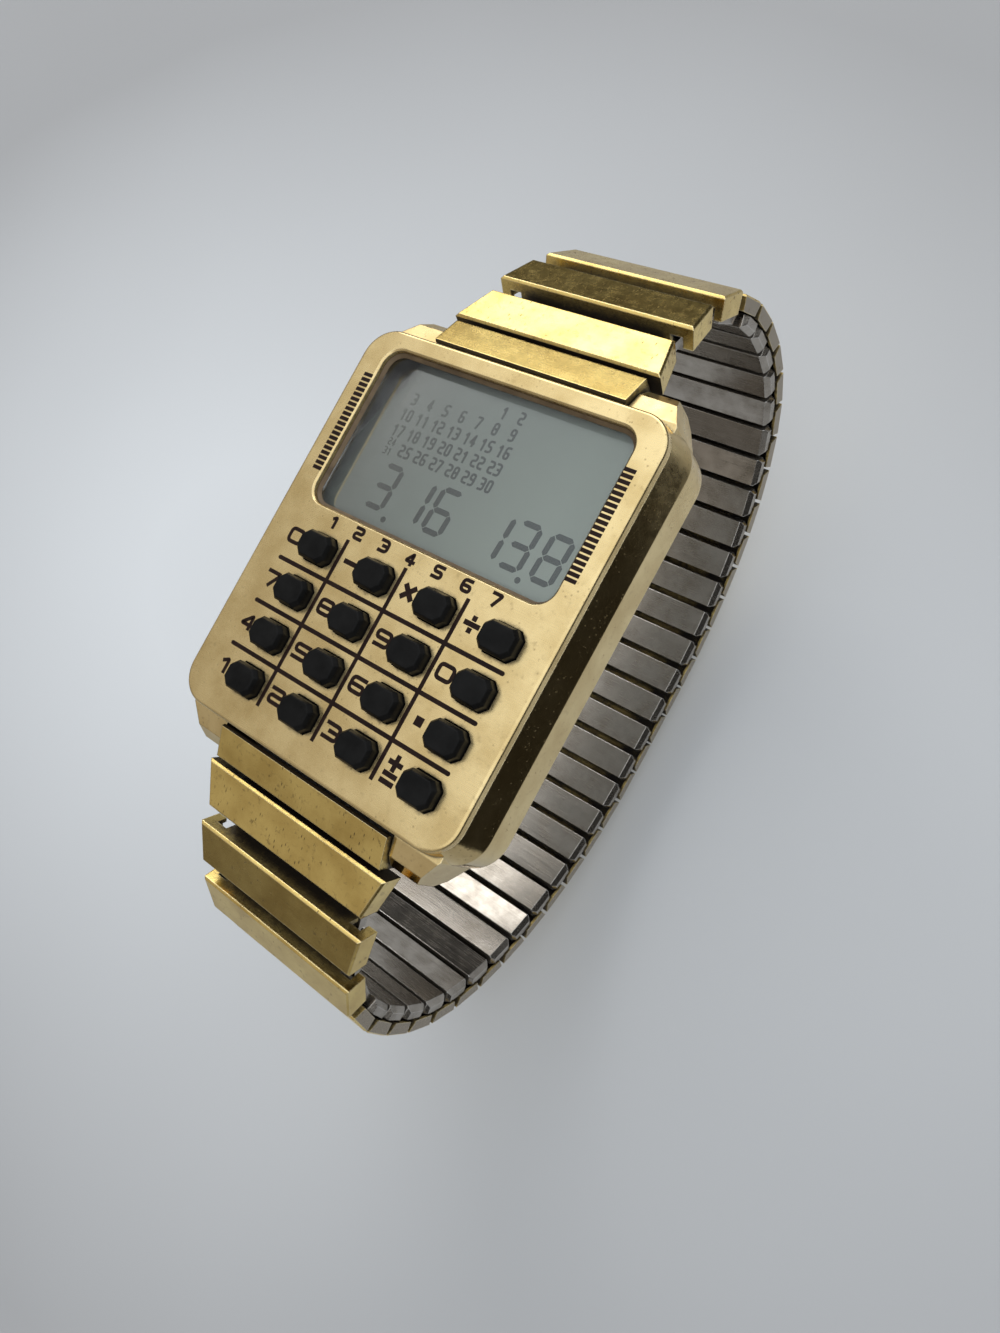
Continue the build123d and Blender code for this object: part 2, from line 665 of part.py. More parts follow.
def circuit_board():
    """Green board with two screw holes."""
    outline = rounded(ROOM_HALF_W - BOARD_PLAY, ROOM_HALF_L - BOARD_PLAY, ROOM_R)
    board = prism(outline, BOARD_LOW_Z, BOARD_TOP_Z)
    for side in (1, -1):
        hole_r = SCREW_R + SCREW_PLAY
        board -= disc(hole_r, BOARD_LOW_Z, BOARD_TOP_Z, side * MODULE_SCREW_X, MODULE_SCREW_Y)
    return board


def driver_chip():
    """Square chip under the board."""
    outline = Rectangle(CHIP_SIZE, CHIP_SIZE)
    return prism(outline, BOARD_LOW_Z - CHIP_T, BOARD_LOW_Z, 0, CHIP_Y)


def quartz_crystal():
    """Round crystal can lying under the board."""
    z = BOARD_LOW_Z - CRYSTAL_R
    half = CRYSTAL_L / 2
    can = Pos(0, CRYSTAL_Y - half, z) * extrude(Plane.XZ * Circle(CRYSTAL_R), -CRYSTAL_L)
    return Pos(CRYSTAL_X, 0, 0) * can


def trimmer():
    """Small round trimmer under the board."""
    return disc(TRIMMER_R, BOARD_LOW_Z - TRIMMER_T, BOARD_LOW_Z, -CRYSTAL_X, CRYSTAL_Y)


def button_cells():
    """Two button cells side by side, can below and cap above."""
    can_z = CELL_LOW_Z + CELL_T * CELL_CAN_SHARE
    cells = []
    for x in (CELL_X, -CELL_X):
        can = disc(CELL_R, CELL_LOW_Z, can_z, x, CELL_Y)
        cap = disc(CELL_R - CELL_CAP_IN, can_z, CELL_LOW_Z + CELL_T, x, CELL_Y)
        cells.append(can + cap)
    return group(cells)


def cell_strap():
    """Spring strip that joins the undersides of the cells."""
    outline = square(CELL_X + STRAP_PAST, STRAP_W / 2)
    return prism(outline, CELL_LOW_Z - STRAP_T, CELL_LOW_Z, 0, CELL_Y)


def module_frame():
    """Moulded frame that fills the lower room round the parts of the board."""
    inset = FRAME_PLAY
    outline = rounded(LEDGE_HALF_W - inset, LEDGE_HALF_L - inset, LEDGE_R - inset)
    frame = prism(outline, FRAME_LOW_Z, BOARD_LOW_Z)
    for x in (CELL_X, -CELL_X):
        frame -= disc(CELL_R + POCKET_PLAY, FRAME_LOW_Z, BOARD_LOW_Z, x, CELL_Y)
    strap = square(CELL_X + STRAP_PAST + POCKET_PLAY, STRAP_W / 2 + POCKET_PLAY)
    frame -= prism(strap, FRAME_LOW_Z, CELL_LOW_Z + POCKET_PLAY, 0, CELL_Y)
    chip = square(CHIP_SIZE / 2 + POCKET_PLAY, CHIP_SIZE / 2 + POCKET_PLAY)
    frame -= prism(chip, BOARD_LOW_Z - CHIP_T - POCKET_PLAY, BOARD_LOW_Z, 0, CHIP_Y)
    can = square(CRYSTAL_R + POCKET_PLAY, CRYSTAL_L / 2 + POCKET_PLAY)
    can_low = BOARD_LOW_Z - CRYSTAL_R - CRYSTAL_R - POCKET_PLAY
    frame -= prism(can, can_low, BOARD_LOW_Z, CRYSTAL_X, CRYSTAL_Y)
    low = BOARD_LOW_Z - TRIMMER_T - POCKET_PLAY
    frame -= disc(TRIMMER_R + POCKET_PLAY, low, BOARD_LOW_Z, -CRYSTAL_X, CRYSTAL_Y)
    buzzer_top = BODY_LOW_Z + BUZZER_T + BUZZER_DISC_T + BUZZER_ROOM
    frame -= disc(BUZZER_R + POCKET_PLAY, FRAME_LOW_Z, buzzer_top, 0, BUZZER_Y)
    head_top = FRAME_LOW_Z + MODULE_SCREW_SINK + SCREW_HEAD_T
    for side in (1, -1):
        x = side * MODULE_SCREW_X
        frame -= disc(SCREW_R + SCREW_PLAY, FRAME_LOW_Z, BOARD_LOW_Z, x, MODULE_SCREW_Y)
        frame -= disc(SCREW_HEAD_R + SCREW_PLAY, FRAME_LOW_Z, head_top, x, MODULE_SCREW_Y)
    return frame


def module_screws():
    """Two screws that hold the frame to the board."""
    head_z = FRAME_LOW_Z + MODULE_SCREW_SINK
    sides = (MODULE_SCREW_X, -MODULE_SCREW_X)
    return group([screw(x, MODULE_SCREW_Y, head_z, MODULE_SCREW_L) for x in sides])


def buzzer():
    """Sounder: metal disc on the case back with its ceramic on top."""
    metal = disc(BUZZER_R, BODY_LOW_Z, BODY_LOW_Z + BUZZER_T, 0, BUZZER_Y)
    top = BODY_LOW_Z + BUZZER_T + BUZZER_DISC_T
    return metal + disc(BUZZER_R - BUZZER_RIM, BODY_LOW_Z + BUZZER_T, top, 0, BUZZER_Y)


def spring_bars():
    """Two bars with thin tips in the lug holes."""
    half = LUG_GAP / 2
    bars = []
    for side in (1, -1):
        z = FACE_Z - BAR_DROP
        y = side * BAR_Y
        bar = bar_x(BAR_R, BAR_END_PLAY - half, half - BAR_END_PLAY, y, z)
        bars.append(bar + bar_x(BAR_TIP_R, -half - BAR_TIP_L, half + BAR_TIP_L, y, z))
    return group(bars)


def end_piece():
    """Hooded piece between the lugs, bored for its spring bar."""
    outline = [
        (END_CASE_Y, FACE_Z - END_LOW_DROP),
        (END_CASE_Y, FACE_Z - FLANK_DROP),
        (FACE_HALF_L + END_BROW_OUT, FACE_Z - END_BROW_DROP),
        (FACE_HALF_L + END_CROWN_OUT, FACE_Z - END_CROWN_DROP),
        (END_LIP_Y, FACE_Z - END_LIP_DROP),
        (FACE_HALF_L + END_CHIN_OUT, FACE_Z - END_CHIN_DROP),
        (FACE_HALF_L + END_LOW_OUT, FACE_Z - END_LOW_DROP),
    ]
    piece = side_shape(outline, END_HALF_W)
    piece -= bar_x(BAR_R + BAR_PLAY, -END_HALF_W, END_HALF_W, BAR_Y, FACE_Z - BAR_DROP)
    far_x = PLATE_HALF_W + HOOK_PLAY
    low = PLATE_LINK_TOP - PLATE_LINK_T - HOOK_PLAY
    mouth = box((-far_x, -FIRST_PLATE_REACH, low), (far_x, 0, PLATE_LINK_TOP + HOOK_PLAY))
    seat = mouth + first_hook(HOOK_R + HOOK_PLAY, far_x)
    return piece - on_loop(seat, wide_run(1))


def tapered(shape, length, case_half_w, back_half_w):
    """A piece of the band cut to its width at the end near the case and at the other."""
    half = length / 2
    outline = [(-case_half_w, -half), (case_half_w, -half),
               (back_half_w, half), (-back_half_w, half)]
    face = make_face(Polyline(*outline, close=True))
    return shape & prism(face, -MIDDLE - WIDE_DEPTH, MIDDLE + WIDE_DEPTH)


def channel(length, case_w, back_w, top, depth, wall, edge, foot_in):
    """Folded cap: closed outside, four walls, open towards the wrist."""
    half = length / 2
    foot = half - foot_in
    low = top - depth
    outer = [(-foot, low), (-half, top - edge), (-half + edge, top),
             (half - edge, top), (half, top - edge), (foot, low)]
    inner = [(-foot + wall, low), (-half + wall + edge / 2, top - wall),
             (half - wall - edge / 2, top - wall), (foot - wall, low)]
    body = tapered(side_shape(outer, case_w), length, case_w / 2, back_w / 2)
    room = tapered(side_shape(inner, case_w), length, case_w / 2 - wall, back_w / 2 - wall)
    ends = body.faces().sort_by(Axis.Z)[-1].edges().filter_by(Axis.X, reverse=True)
    return chamfer(ends, edge) - room


def narrow_cap():
    """Gold outer cap of the expanding part."""
    return channel(CAP_L, CAP_W, CAP_W, CAP_TOP, CAP_DEPTH, CAP_WALL, CAP_EDGE, CAP_FOOT_IN)


def tongue(x, y):
    """Upright tab of an inner link."""
    low = LINK_TOP - LINK_WALL
    return box((x - TONGUE_W / 2, y - TONGUE_T / 2, low),
               (x + TONGUE_W / 2, y + TONGUE_T / 2, LINK_TOP + TONGUE_RISE))


def inner_link(to_case, to_back):
    """Steel inner link: tray open outwards with tongues into the caps it carries."""
    half = LINK_L / 2
    foot = half - LINK_FOOT_IN
    low = LINK_TOP - LINK_DEPTH
    outer = [(-half, LINK_TOP), (-foot, low), (foot, low), (half, LINK_TOP)]
    tray = side_shape(outer, LINK_HALF_W)
    ends = tray.edges().filter_by(Axis.Y).group_by(Axis.Z)[0]
    tray = chamfer(ends, LINK_END_CUT)
    tray &= prism(octagon(LINK_HALF_W, half, LINK_CORNER_CUT), low, LINK_TOP)
    room = foot - LINK_WALL
    end = LINK_HALF_W - LINK_END_CUT
    tray -= box((-end, -room, low + LINK_WALL), (end, room, LINK_TOP))
    seat = half - TONGUE_T / 2
    for side, wanted in ((-1, to_case), (1, to_back)):
        if wanted:
            for x in (TONGUE_X, -TONGUE_X):
                tray += tongue(x, side * seat)
    return tray


def leaf_spring():
    """Bowed leaf that lies in an inner link."""
    low = LINK_TOP - LINK_DEPTH + LINK_WALL
    middle = low + LEAF_BOW
    under = [(-LEAF_HALF_L, low), (0, middle), (LEAF_HALF_L, low)]
    over = [(x, z + LEAF_T) for x, z in reversed(under)]
    face = Plane.XZ * make_face(Polyline(*(under + over), close=True))
    return extrude(face, LEAF_W / 2, both=True)


def wide_cap(number):
    """Wide gold cap with notched long walls, counted from the case."""
    case_w = CAP_W + WIDE_EXTRA_W - (number - 1) * WIDE_STEP
    back_w = case_w - WIDE_TAPER / number
    cap = channel(WIDE_L, case_w, back_w, WIDE_TOP, WIDE_DEPTH, WIDE_WALL, WIDE_EDGE, WIDE_FOOT_IN)
    low = WIDE_TOP - WIDE_DEPTH
    end = back_w / 2 - WIDE_WALL
    for near, far in ((end - WIDE_NOTCH_W, end), (-end, WIDE_NOTCH_W - end)):
        cap -= box((near, -WIDE_L, low), (far, WIDE_L, low + WIDE_NOTCH_H))
    return cap


def plate_link(length, to_case, to_back):
    """Steel plate under two wide caps, with rails that reach up into them."""
    half = length / 2
    low = PLATE_LINK_TOP - PLATE_LINK_T
    slope = PLATE_LINK_T / 2
    outer = [(-half, PLATE_LINK_TOP), (slope - half, low),
             (half - slope, low), (half, PLATE_LINK_TOP)]
    plate = side_shape(outer, PLATE_HALF_W)
    for side, wanted in ((-1, to_case), (1, to_back)):
        if wanted:
            far = side * (half - PLATE_RAIL_IN)
            near = far - side * PLATE_RAIL_T
            plate += box((-PLATE_RAIL_X, min(near, far), low),
                         (PLATE_RAIL_X, max(near, far), PLATE_LINK_TOP + PLATE_RAIL_RISE))
    return plate


def wide_run(number):
    """Place of a wide cap, counted from the case."""
    return FIRST_WIDE_RUN - (number - 1) * WIDE_PITCH


def wide_at(number):
    """A wide cap at its place on the twelve o'clock side."""
    return on_loop(wide_cap(number), wide_run(number))


def plate_at(number, to_back):
    """The plate link between a wide cap and the next, at twelve o'clock."""
    return on_loop(plate_link(PLATE_LINK_L, True, to_back), wide_run(number) - WIDE_PITCH / 2)


def first_hook(radius, half_w):
    """Round edge of the first plate link, drawn about the first wide cap's middle."""
    return bar_x(radius, -half_w, half_w, -FIRST_PLATE_REACH, PLATE_LINK_TOP - PLATE_LINK_T / 2)


def first_plate():
    """Plate link under the first wide cap, hooked into the end piece."""
    length = FIRST_PLATE_REACH + FIRST_PLATE_PAST
    plate = plate_link(length, False, False)
    shift = (FIRST_PLATE_PAST - FIRST_PLATE_REACH) / 2
    shape = Pos(0, shift, 0) * plate + first_hook(HOOK_R, PLATE_HALF_W)
    return on_loop(shape, wide_run(1))


def last_plate():
    """Short plate link between the last wide cap and the first narrow one."""
    run = LAST_CAP_EDGE + WIDE_TO_CAP / 2
    return on_loop(plate_link(LAST_PLATE_L, True, False), run)


def caps_at(numbers):
    """Narrow caps at their places, numbered from bottom centre."""
    return [on_loop(narrow_cap(), n * CAP_PITCH) for n in numbers]


def links_after(numbers, open_end):
    """The inner link below each numbered cap, with its leaf spring.

    At an open end the last link carries no tongue for the cap that slides off it."""
    made = []
    for n in numbers:
        run = (n - LINK_SHARE) * CAP_PITCH
        carries = not (open_end and n == min(numbers))
        made.append(on_loop(inner_link(True, carries), run))
        made.append(on_loop(leaf_spring(), run))
    return made


def both_sides(shapes):
    """Twelve o'clock pieces and their six o'clock twins as one group."""
    return group(shapes + [other_side(shape) for shape in shapes])


def write(name, shape):
    """One node, one file."""
    export_step(shape, "parts/" + name + ".step")


def main():
    os.makedirs("parts", exist_ok=True)
    write("face_plate", face_plate())
    write("case_body", case_body())
    write("case_back", case_back())
    write("case_back_screws", case_back_screws())
    write("back_gasket", back_gasket())
    for name, x, y in key_places():
        write("key_" + name, key(x, y))
    write("key_mat", key_mat())
    write("display_glass", display_glass())
    write("lcd_panel", lcd_panel())
    write("lcd_reflector", lcd_reflector())
    write("display_holder", display_holder())
    write("zebra_strips", zebra_strips())
    write("circuit_board", circuit_board())
    write("driver_chip", driver_chip())
    write("quartz_crystal", quartz_crystal())
    write("trimmer", trimmer())
    write("button_cells", button_cells())
    write("cell_strap", cell_strap())
    write("module_frame", module_frame())
    write("module_screws", module_screws())
    write("buzzer", buzzer())
    write("spring_bars", spring_bars())
    fixed_plates = [first_plate(), plate_at(1, True), plate_at(2, False)]
    write("wide_caps_near_case", both_sides([wide_at(1), wide_at(2)]))
    write("plate_links_near_case", both_sides(fixed_plates))
    back_links = links_after(BACK_CAPS, False)
    write("outer_caps_back", group(caps_at([0]) + [both_sides(caps_at(BACK_CAPS))]))
    write("inner_links_back", both_sides(back_links))
    halves = {
        "end_piece": [end_piece()],
        "wide_cap_3": [wide_at(WIDE_COUNT)],
        "plate_link_3": [last_plate()],
        "outer_caps_upper": caps_at(UPPER_CAPS),
        "inner_links_upper": links_after(UPPER_CAPS, True),
        "outer_caps_lower": caps_at(LOWER_CAPS),
        "inner_links_lower": links_after(LOWER_CAPS, True),
    }
    for name, shapes in halves.items():
        write(name + "_12", group(shapes))
        write(name + "_6", group([other_side(shape) for shape in shapes]))


if __name__ == "__main__":
    main()
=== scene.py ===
"""Dresses the calculator watch: finishes, printed marks, display figures, light and camera.

Metres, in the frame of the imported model: Z is the way the face looks, Y points to
twelve o'clock and X to three o'clock. Sizes below are in millimetres where MM follows.
"""
import json
import math

import bpy
import bmesh
from mathutils import Matrix, Vector


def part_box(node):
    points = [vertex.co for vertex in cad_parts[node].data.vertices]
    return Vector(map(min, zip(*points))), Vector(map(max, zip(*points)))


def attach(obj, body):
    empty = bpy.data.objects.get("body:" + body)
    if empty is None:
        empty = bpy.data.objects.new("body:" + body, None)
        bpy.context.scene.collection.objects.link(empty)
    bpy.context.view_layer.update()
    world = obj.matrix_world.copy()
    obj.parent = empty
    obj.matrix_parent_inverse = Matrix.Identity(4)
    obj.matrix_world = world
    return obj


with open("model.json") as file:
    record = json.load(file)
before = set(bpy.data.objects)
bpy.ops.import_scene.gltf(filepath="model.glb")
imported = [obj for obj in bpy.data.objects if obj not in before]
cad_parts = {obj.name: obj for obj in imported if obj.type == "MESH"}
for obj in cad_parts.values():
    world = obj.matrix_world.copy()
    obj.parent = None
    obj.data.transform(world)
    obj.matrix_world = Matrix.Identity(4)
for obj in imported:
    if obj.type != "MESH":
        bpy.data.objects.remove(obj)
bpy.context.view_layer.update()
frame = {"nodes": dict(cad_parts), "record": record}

MM = 0.001
PER_MM = 1000.0

# Printed marks on the face plate.
INK_T = 0.012 * MM
INK_SINK = 0.004 * MM
GRID_W = 0.37 * MM
GRID_LEFT_OF_KEY = 4.4 * MM
GRID_TOP_PAST = 1.8 * MM
GRID_LOW_PAST = 1.36 * MM
GRID_HALF_X = 12.5 * MM
FIGURE_W = 1.75 * MM
FIGURE_H = 1.5 * MM
FIGURE_T = 0.34 * MM
SIGN_L = 1.4 * MM
SIGN_T = 0.42 * MM
FIGURE_LEFT_OF_KEY = 3.05 * MM
FIGURE_RISE = 0.12 * MM
SIGN_UP = 0.55 * MM
SIGN_DOWN = 0.72 * MM
# Shares of a sign's length or of its thickness.
TIMES_REACH = 0.42
TIMES_STUB = 0.392
TIMES_T = 1.1
DIVIDE_L = 1.1
DIVIDE_RISE = 0.36
DIVIDE_DOT = 1.05
POINT_SIDE = 1.85
EQUALS_APART = 0.74
WEEK = 7
DAY_W = 1.1 * MM
DAY_H = 1.2 * MM
DAY_T = 0.3 * MM
DAY_BELOW_WINDOW = 0.92 * MM
DAY_FIRST_X = -8.86 * MM
DAY_LAST_X = 8.8 * MM
HATCH_COUNT = 20
HATCH_L = 1.0 * MM
HATCH_W = 0.33 * MM
HATCH_OUT = 0.14 * MM
HATCH_LOW_Y = 4.4 * MM
HATCH_HIGH_Y = 13.65 * MM

# Figures of the display.
GLASS_MARGIN = 0.45 * MM
LCD_T = 0.012 * MM
LCD_SINK = 0.004 * MM
CAL_FIRST_X = -9.15 * MM
CAL_PITCH_X = 1.8 * MM
CAL_TOP_Y = 15.12 * MM
CAL_PITCH_Y = 1.545 * MM
CAL_W = 0.6 * MM
CAL_H = 1.17 * MM
CAL_T = 0.21 * MM
CAL_GAP = 0.12 * MM
CAL_DAYS = 30
CAL_SHIFT = 4
CAL_SHARED = (24, 31)
CAL_SMALL_SHARE = 0.62
CAL_SMALL_APART = 0.38
BIG_W = 2.35 * MM
BIG_H = 4.3 * MM
BIG_T = 0.5 * MM
BIG_GAP = 0.05 * MM
BIG_LEAN = 0.05
BIG_MID_Y = 5.5 * MM
BIG_FIGURES = (("3", -7.5), ("1", -3.7), ("6", -0.9), ("1", 4.7), ("3", 7.3), ("8", 10.4))
BIG_DOTS = ((-5.9, 2.9), (8.55, 3.0))
BIG_DOT_R = 0.27 * MM

# Sealing ring round the window, its brown a painted shade of the plate's inner wall.
SEAL_W = 0.32 * MM
SEAL_H = 0.3 * MM
SEAL_LIP = 0.04 * MM
SEAL_PLAY = 0.02 * MM
SEAL_STEPS = 8
WINDOW_R = 1.7 * MM

# How finely lines and rounds are drawn.
CORNER_STEPS = 6
GRID_END_STEPS = 12
DOT_STEPS = 24
STROKE_LEAST = 0.02
MITRE_LEAST = 0.3
MERGE = 0.0005 * MM

# Camera, solved from the photograph.
CAMERA_AT = (46.28, -5.67, 109.32)
CAMERA_RIGHT = (0.775561, 0.477661, -0.412729)
CAMERA_UP = (-0.405889, 0.878063, 0.253494)
CAMERA_BACK = (0.483486, -0.029078, 0.874869)
CAMERA_LENS = 26.0
CAMERA_SENSOR = 36.0
CAMERA_NEAR = 5.0 * MM

# Floor, light and the dark cards that only reflections show.
FLOOR_SIZE = 3.0
FLOOR_Z = -3.7 * MM
FLOOR_PALE = (0.64, 0.665, 0.69)
# The floor is paler near the watch and greyer away from it: a painted pool of light.
FLOOR_GREY_SHADE = (0.345, 0.35, 0.36)
FLOOR_STRETCH = (0.85, 1.25)
LIGHT_POOL_MIDDLE = (-47.0, -8.0, 0.0)
FLOOR_NEAR = 25.0
FLOOR_FAR = 135.0
SIDE_CARD = {"place": (0.092, 0.0), "height": 0.075, "length": 0.34, "turn": 0.0}
FAR_CARD = {"place": (-0.09, 0.118), "height": 0.07, "length": 0.4, "turn": math.pi / 2}
SOFT_BOX = {
    "place": (-0.3, 0.56, 0.42),
    "aim": (0.0, 0.0, 0.02),
    "width": 0.6,
    "height": 0.34,
    "power": 1.7,
    "colour": (1.0, 0.98, 0.95),
}
SKY_WAY = (0.6, 0.5, 0.62)
SKY_DIM = 0.43
SKY_BRIGHT = 1.26
SKY_START = 0.04
SKY_END = 0.34
HORIZON_SHARE = 0.3
HORIZON_LOW = 0.05
HORIZON_HIGH = 0.42
SKY_COOL = (0.93, 0.965, 1.0)
SKY_WARM = (1.0, 0.94, 0.86)

# Colours and directions of the finishes.
PALE_GOLD = (0.82, 0.645, 0.33)
DEEP_GOLD = (0.66, 0.495, 0.23)
PALE_CAP = (0.86, 0.65, 0.23)
DEEP_CAP = (0.66, 0.47, 0.15)
# Pale edge colour: worn plating, and a painted highlight along the edges.
EDGE_WEAR_HIGHLIGHT = (0.98, 0.86, 0.56)
CAP_END = (0.36, 0.31, 0.24)
BROWN = (0.16, 0.11, 0.055)
# Near black of dirt, also used as painted shade in gaps.
GRIME_AND_SHADE = (0.014, 0.009, 0.005)
# Painted highlight on steel edges.
STEEL_EDGE_HIGHLIGHT = (0.82, 0.79, 0.75)
DUST = (0.34, 0.31, 0.25)
ALONG_X = (0.06, 4.0, 4.0)
ALONG_Y = (4.0, 0.06, 4.0)
EVEN = (1.0, 1.0, 1.0)
DASHES = (1.7, 0.55, 0.55)


class Finish:
    """A material in the making: its node tree and its Principled shader."""

    def __init__(self, name, colour, metal, rough):
        self.material = bpy.data.materials.new(name)
        self.material.use_nodes = True
        self.tree = self.material.node_tree
        self.shader = self.tree.nodes["Principled BSDF"]
        self.put(self.shader.inputs["Base Color"], colour)
        self.put(self.shader.inputs["Metallic"], metal)
        self.put(self.shader.inputs["Roughness"], rough)

    def put(self, socket, value):
        """Sets a socket to a value, or links it to another socket."""
        if isinstance(value, bpy.types.NodeSocket):
            self.tree.links.new(value, socket)
        elif socket.type == "RGBA" and len(value) == 3:
            socket.default_value = (*value, 1.0)
        else:
            socket.default_value = value

    def node(self, kind, values, **settings):
        """A new node with its settings and input values."""
        made = self.tree.nodes.new("ShaderNode" + kind)
        for key, value in settings.items():
            setattr(made, key, value)
        for key, value in values.items():
            self.put(made.inputs[key], value)
        return made

    def place(self, x=1.0, y=1.0, z=1.0):
        """Place on the object, with the axes stretched, in millimetres."""
        coords = self.node("TexCoord", {}).outputs["Object"]
        scale = (x * PER_MM, y * PER_MM, z * PER_MM)
        return self.node("Mapping", {"Vector": coords, "Scale": scale}).outputs["Vector"]

    def noise(self, scale, stretch=(1.0, 1.0, 1.0), detail=3.0, rough=0.55):
        """Cloudy noise from 0 to 1, its grains 1 / scale millimetres wide."""
        values = {"Vector": self.place(*stretch), "Scale": scale, "Detail": detail, "Roughness": rough}
        return self.node("TexNoise", values).outputs["Fac"]

    def spots(self, scale, stretch=(1.0, 1.0, 1.0)):
        """Distance to the nearest of many scattered points."""
        values = {"Vector": self.place(*stretch), "Scale": scale}
        return self.node("TexVoronoi", values).outputs["Distance"]

    def span(self, value, low, high, to_low=0.0, to_high=1.0):
        """Value carried from one range to another, held at the ends."""
        values = {"Value": value, "From Min": low, "From Max": high, "To Min": to_low, "To Max": to_high}
        return self.node("MapRange", values).outputs["Result"]

    def mix(self, share, first, second):
        """Colour between two colours."""
        made = self.node("Mix", {}, data_type="RGBA")
        for socket, value in zip((made.inputs[0], made.inputs[6], made.inputs[7]), (share, first, second)):
            self.put(socket, value)
        return made.outputs[2]

    def sum(self, first, second, operation="ADD"):
        """Two numbers joined by an operation."""
        made = self.node("Math", {}, operation=operation)
        self.put(made.inputs[0], first)
        self.put(made.inputs[1], second)
        return made.outputs[0]

    def edges(self, radius):
        """Rounded normal for the edges, and how near an edge is, from 0 to 1."""
        rounded = self.node("Bevel", {"Radius": radius}, samples=6).outputs["Normal"]
        flat = self.node("NewGeometry", {}).outputs["Normal"]
        dot = self.node("VectorMath", {0: rounded, 1: flat}, operation="DOT_PRODUCT").outputs["Value"]
        return rounded, self.span(dot, 1.0, 0.86)

    def crevice(self, reach):
        """How shut in a spot is, from 0 in the open to 1 deep in a gap: the mask for painted shade in gaps.
        """
        open_share = self.node("AmbientOcclusion", {"Distance": reach}, samples=8).outputs["AO"]
        return self.span(open_share, 0.88, 0.45)

    def bump(self, height, depth, normal=None):
        """Small relief, depth in metres, on top of a normal if one is given."""
        values = {"Height": height, "Strength": 1.0, "Distance": depth}
        if normal is not None:
            values["Normal"] = normal
        self.put(self.shader.inputs["Normal"], self.node("Bump", values).outputs["Normal"])


def gold(name, pale, deep, rough, streak, tarnish, stretch, radius, shade_reach, dust=0.0, marks=EVEN, ends=None):
    """Gold plating: fine brushing, tarnish, brown marks, dirt with painted shade in the gaps,
    bright edges of worn plating with a painted highlight, bare ends and a haze towards twelve o'clock."""
    finish = Finish(name, pale, 1.0, rough)
    streaks = finish.noise(5.0, stretch, 4.0, 0.6)
    clouds = finish.noise(0.28, detail=4.0)
    blots = finish.noise(1.6, detail=5.0, rough=0.7)
    patches = finish.span(finish.noise(0.2, detail=3.0), 0.4, 0.56)
    specks = finish.sum(finish.span(finish.spots(1.7, marks), 0.2, 0.07), patches, "MULTIPLY")
    # Dirt and painted shade: blots of dirt, and painted shade where a spot is shut in.
    dirt_and_shade = finish.sum(finish.crevice(shade_reach), finish.span(blots, 0.3, 0.7, -0.3, 0.1))
    dirt_and_shade = finish.span(dirt_and_shade, 0.12, 0.7)
    rounded, edge = finish.edges(radius)
    body = finish.mix(finish.span(clouds, 0.38, 0.66), pale, deep)
    body = finish.mix(finish.sum(finish.span(blots, 0.58, 0.76), tarnish, "MULTIPLY"), body, BROWN)
    body = finish.mix(finish.sum(specks, min(1.0, tarnish * 1.25), "MULTIPLY"), body, BROWN)
    if ends is not None:
        facing = finish.node("NewGeometry", {}).outputs["Normal"]
        facing = finish.sum(finish.node("SeparateXYZ", {"Vector": facing}).outputs["X"], 0.0, "ABSOLUTE")
        body = finish.mix(finish.span(facing, 0.8, 0.9), body, ends)
    # Edges turn pale: worn plating, and a painted highlight.
    body = finish.mix(finish.sum(edge, 0.8, "MULTIPLY"), body, EDGE_WEAR_HIGHLIGHT)
    # Painted shade in gaps, with dirt, darkens the colour.
    body = finish.mix(dirt_and_shade, body, GRIME_AND_SHADE)
    # Pale grit, dirt and the painted shade in gaps are dull: they take the metal away where they lie.
    grit = finish.sum(finish.span(finish.spots(2.6), 0.13, 0.05), finish.span(clouds, 0.3, 0.6), "MULTIPLY")
    grit = finish.sum(grit, dust, "MULTIPLY")
    finish.put(finish.shader.inputs["Base Color"], finish.mix(grit, body, DUST))
    bare = finish.span(finish.sum(grit, finish.sum(dirt_and_shade, 0.8, "MULTIPLY")), 0.0, 1.0, 1.0, 0.0)
    finish.put(finish.shader.inputs["Metallic"], bare)
    # Roughness: brushing, blots, dirt with the painted shade in gaps and, towards twelve o'clock, haze.
    grain = finish.span(streaks, 0.3, 0.7, rough - streak, rough + streak)
    grain = finish.sum(grain, finish.span(blots, 0.5, 0.8, 0.0, 0.1))
    grain = finish.sum(grain, finish.sum(dirt_and_shade, 0.3, "MULTIPLY"))
    upper = finish.node("SeparateXYZ", {"Vector": finish.place()}).outputs["Y"]
    haze = finish.span(finish.noise(0.9, detail=5.0, rough=0.65), 0.35, 0.7, dust * 0.4, dust)
    haze = finish.sum(haze, finish.span(upper, 6.0, 18.0), "MULTIPLY")
    grain = finish.sum(grain, haze)
    finish.put(finish.shader.inputs["Roughness"], finish.sum(grain, finish.sum(specks, 0.25, "MULTIPLY")))
    finish.bump(finish.sum(streaks, finish.sum(specks, -1.0, "MULTIPLY")), 0.0025 * MM, rounded)
    return finish.material


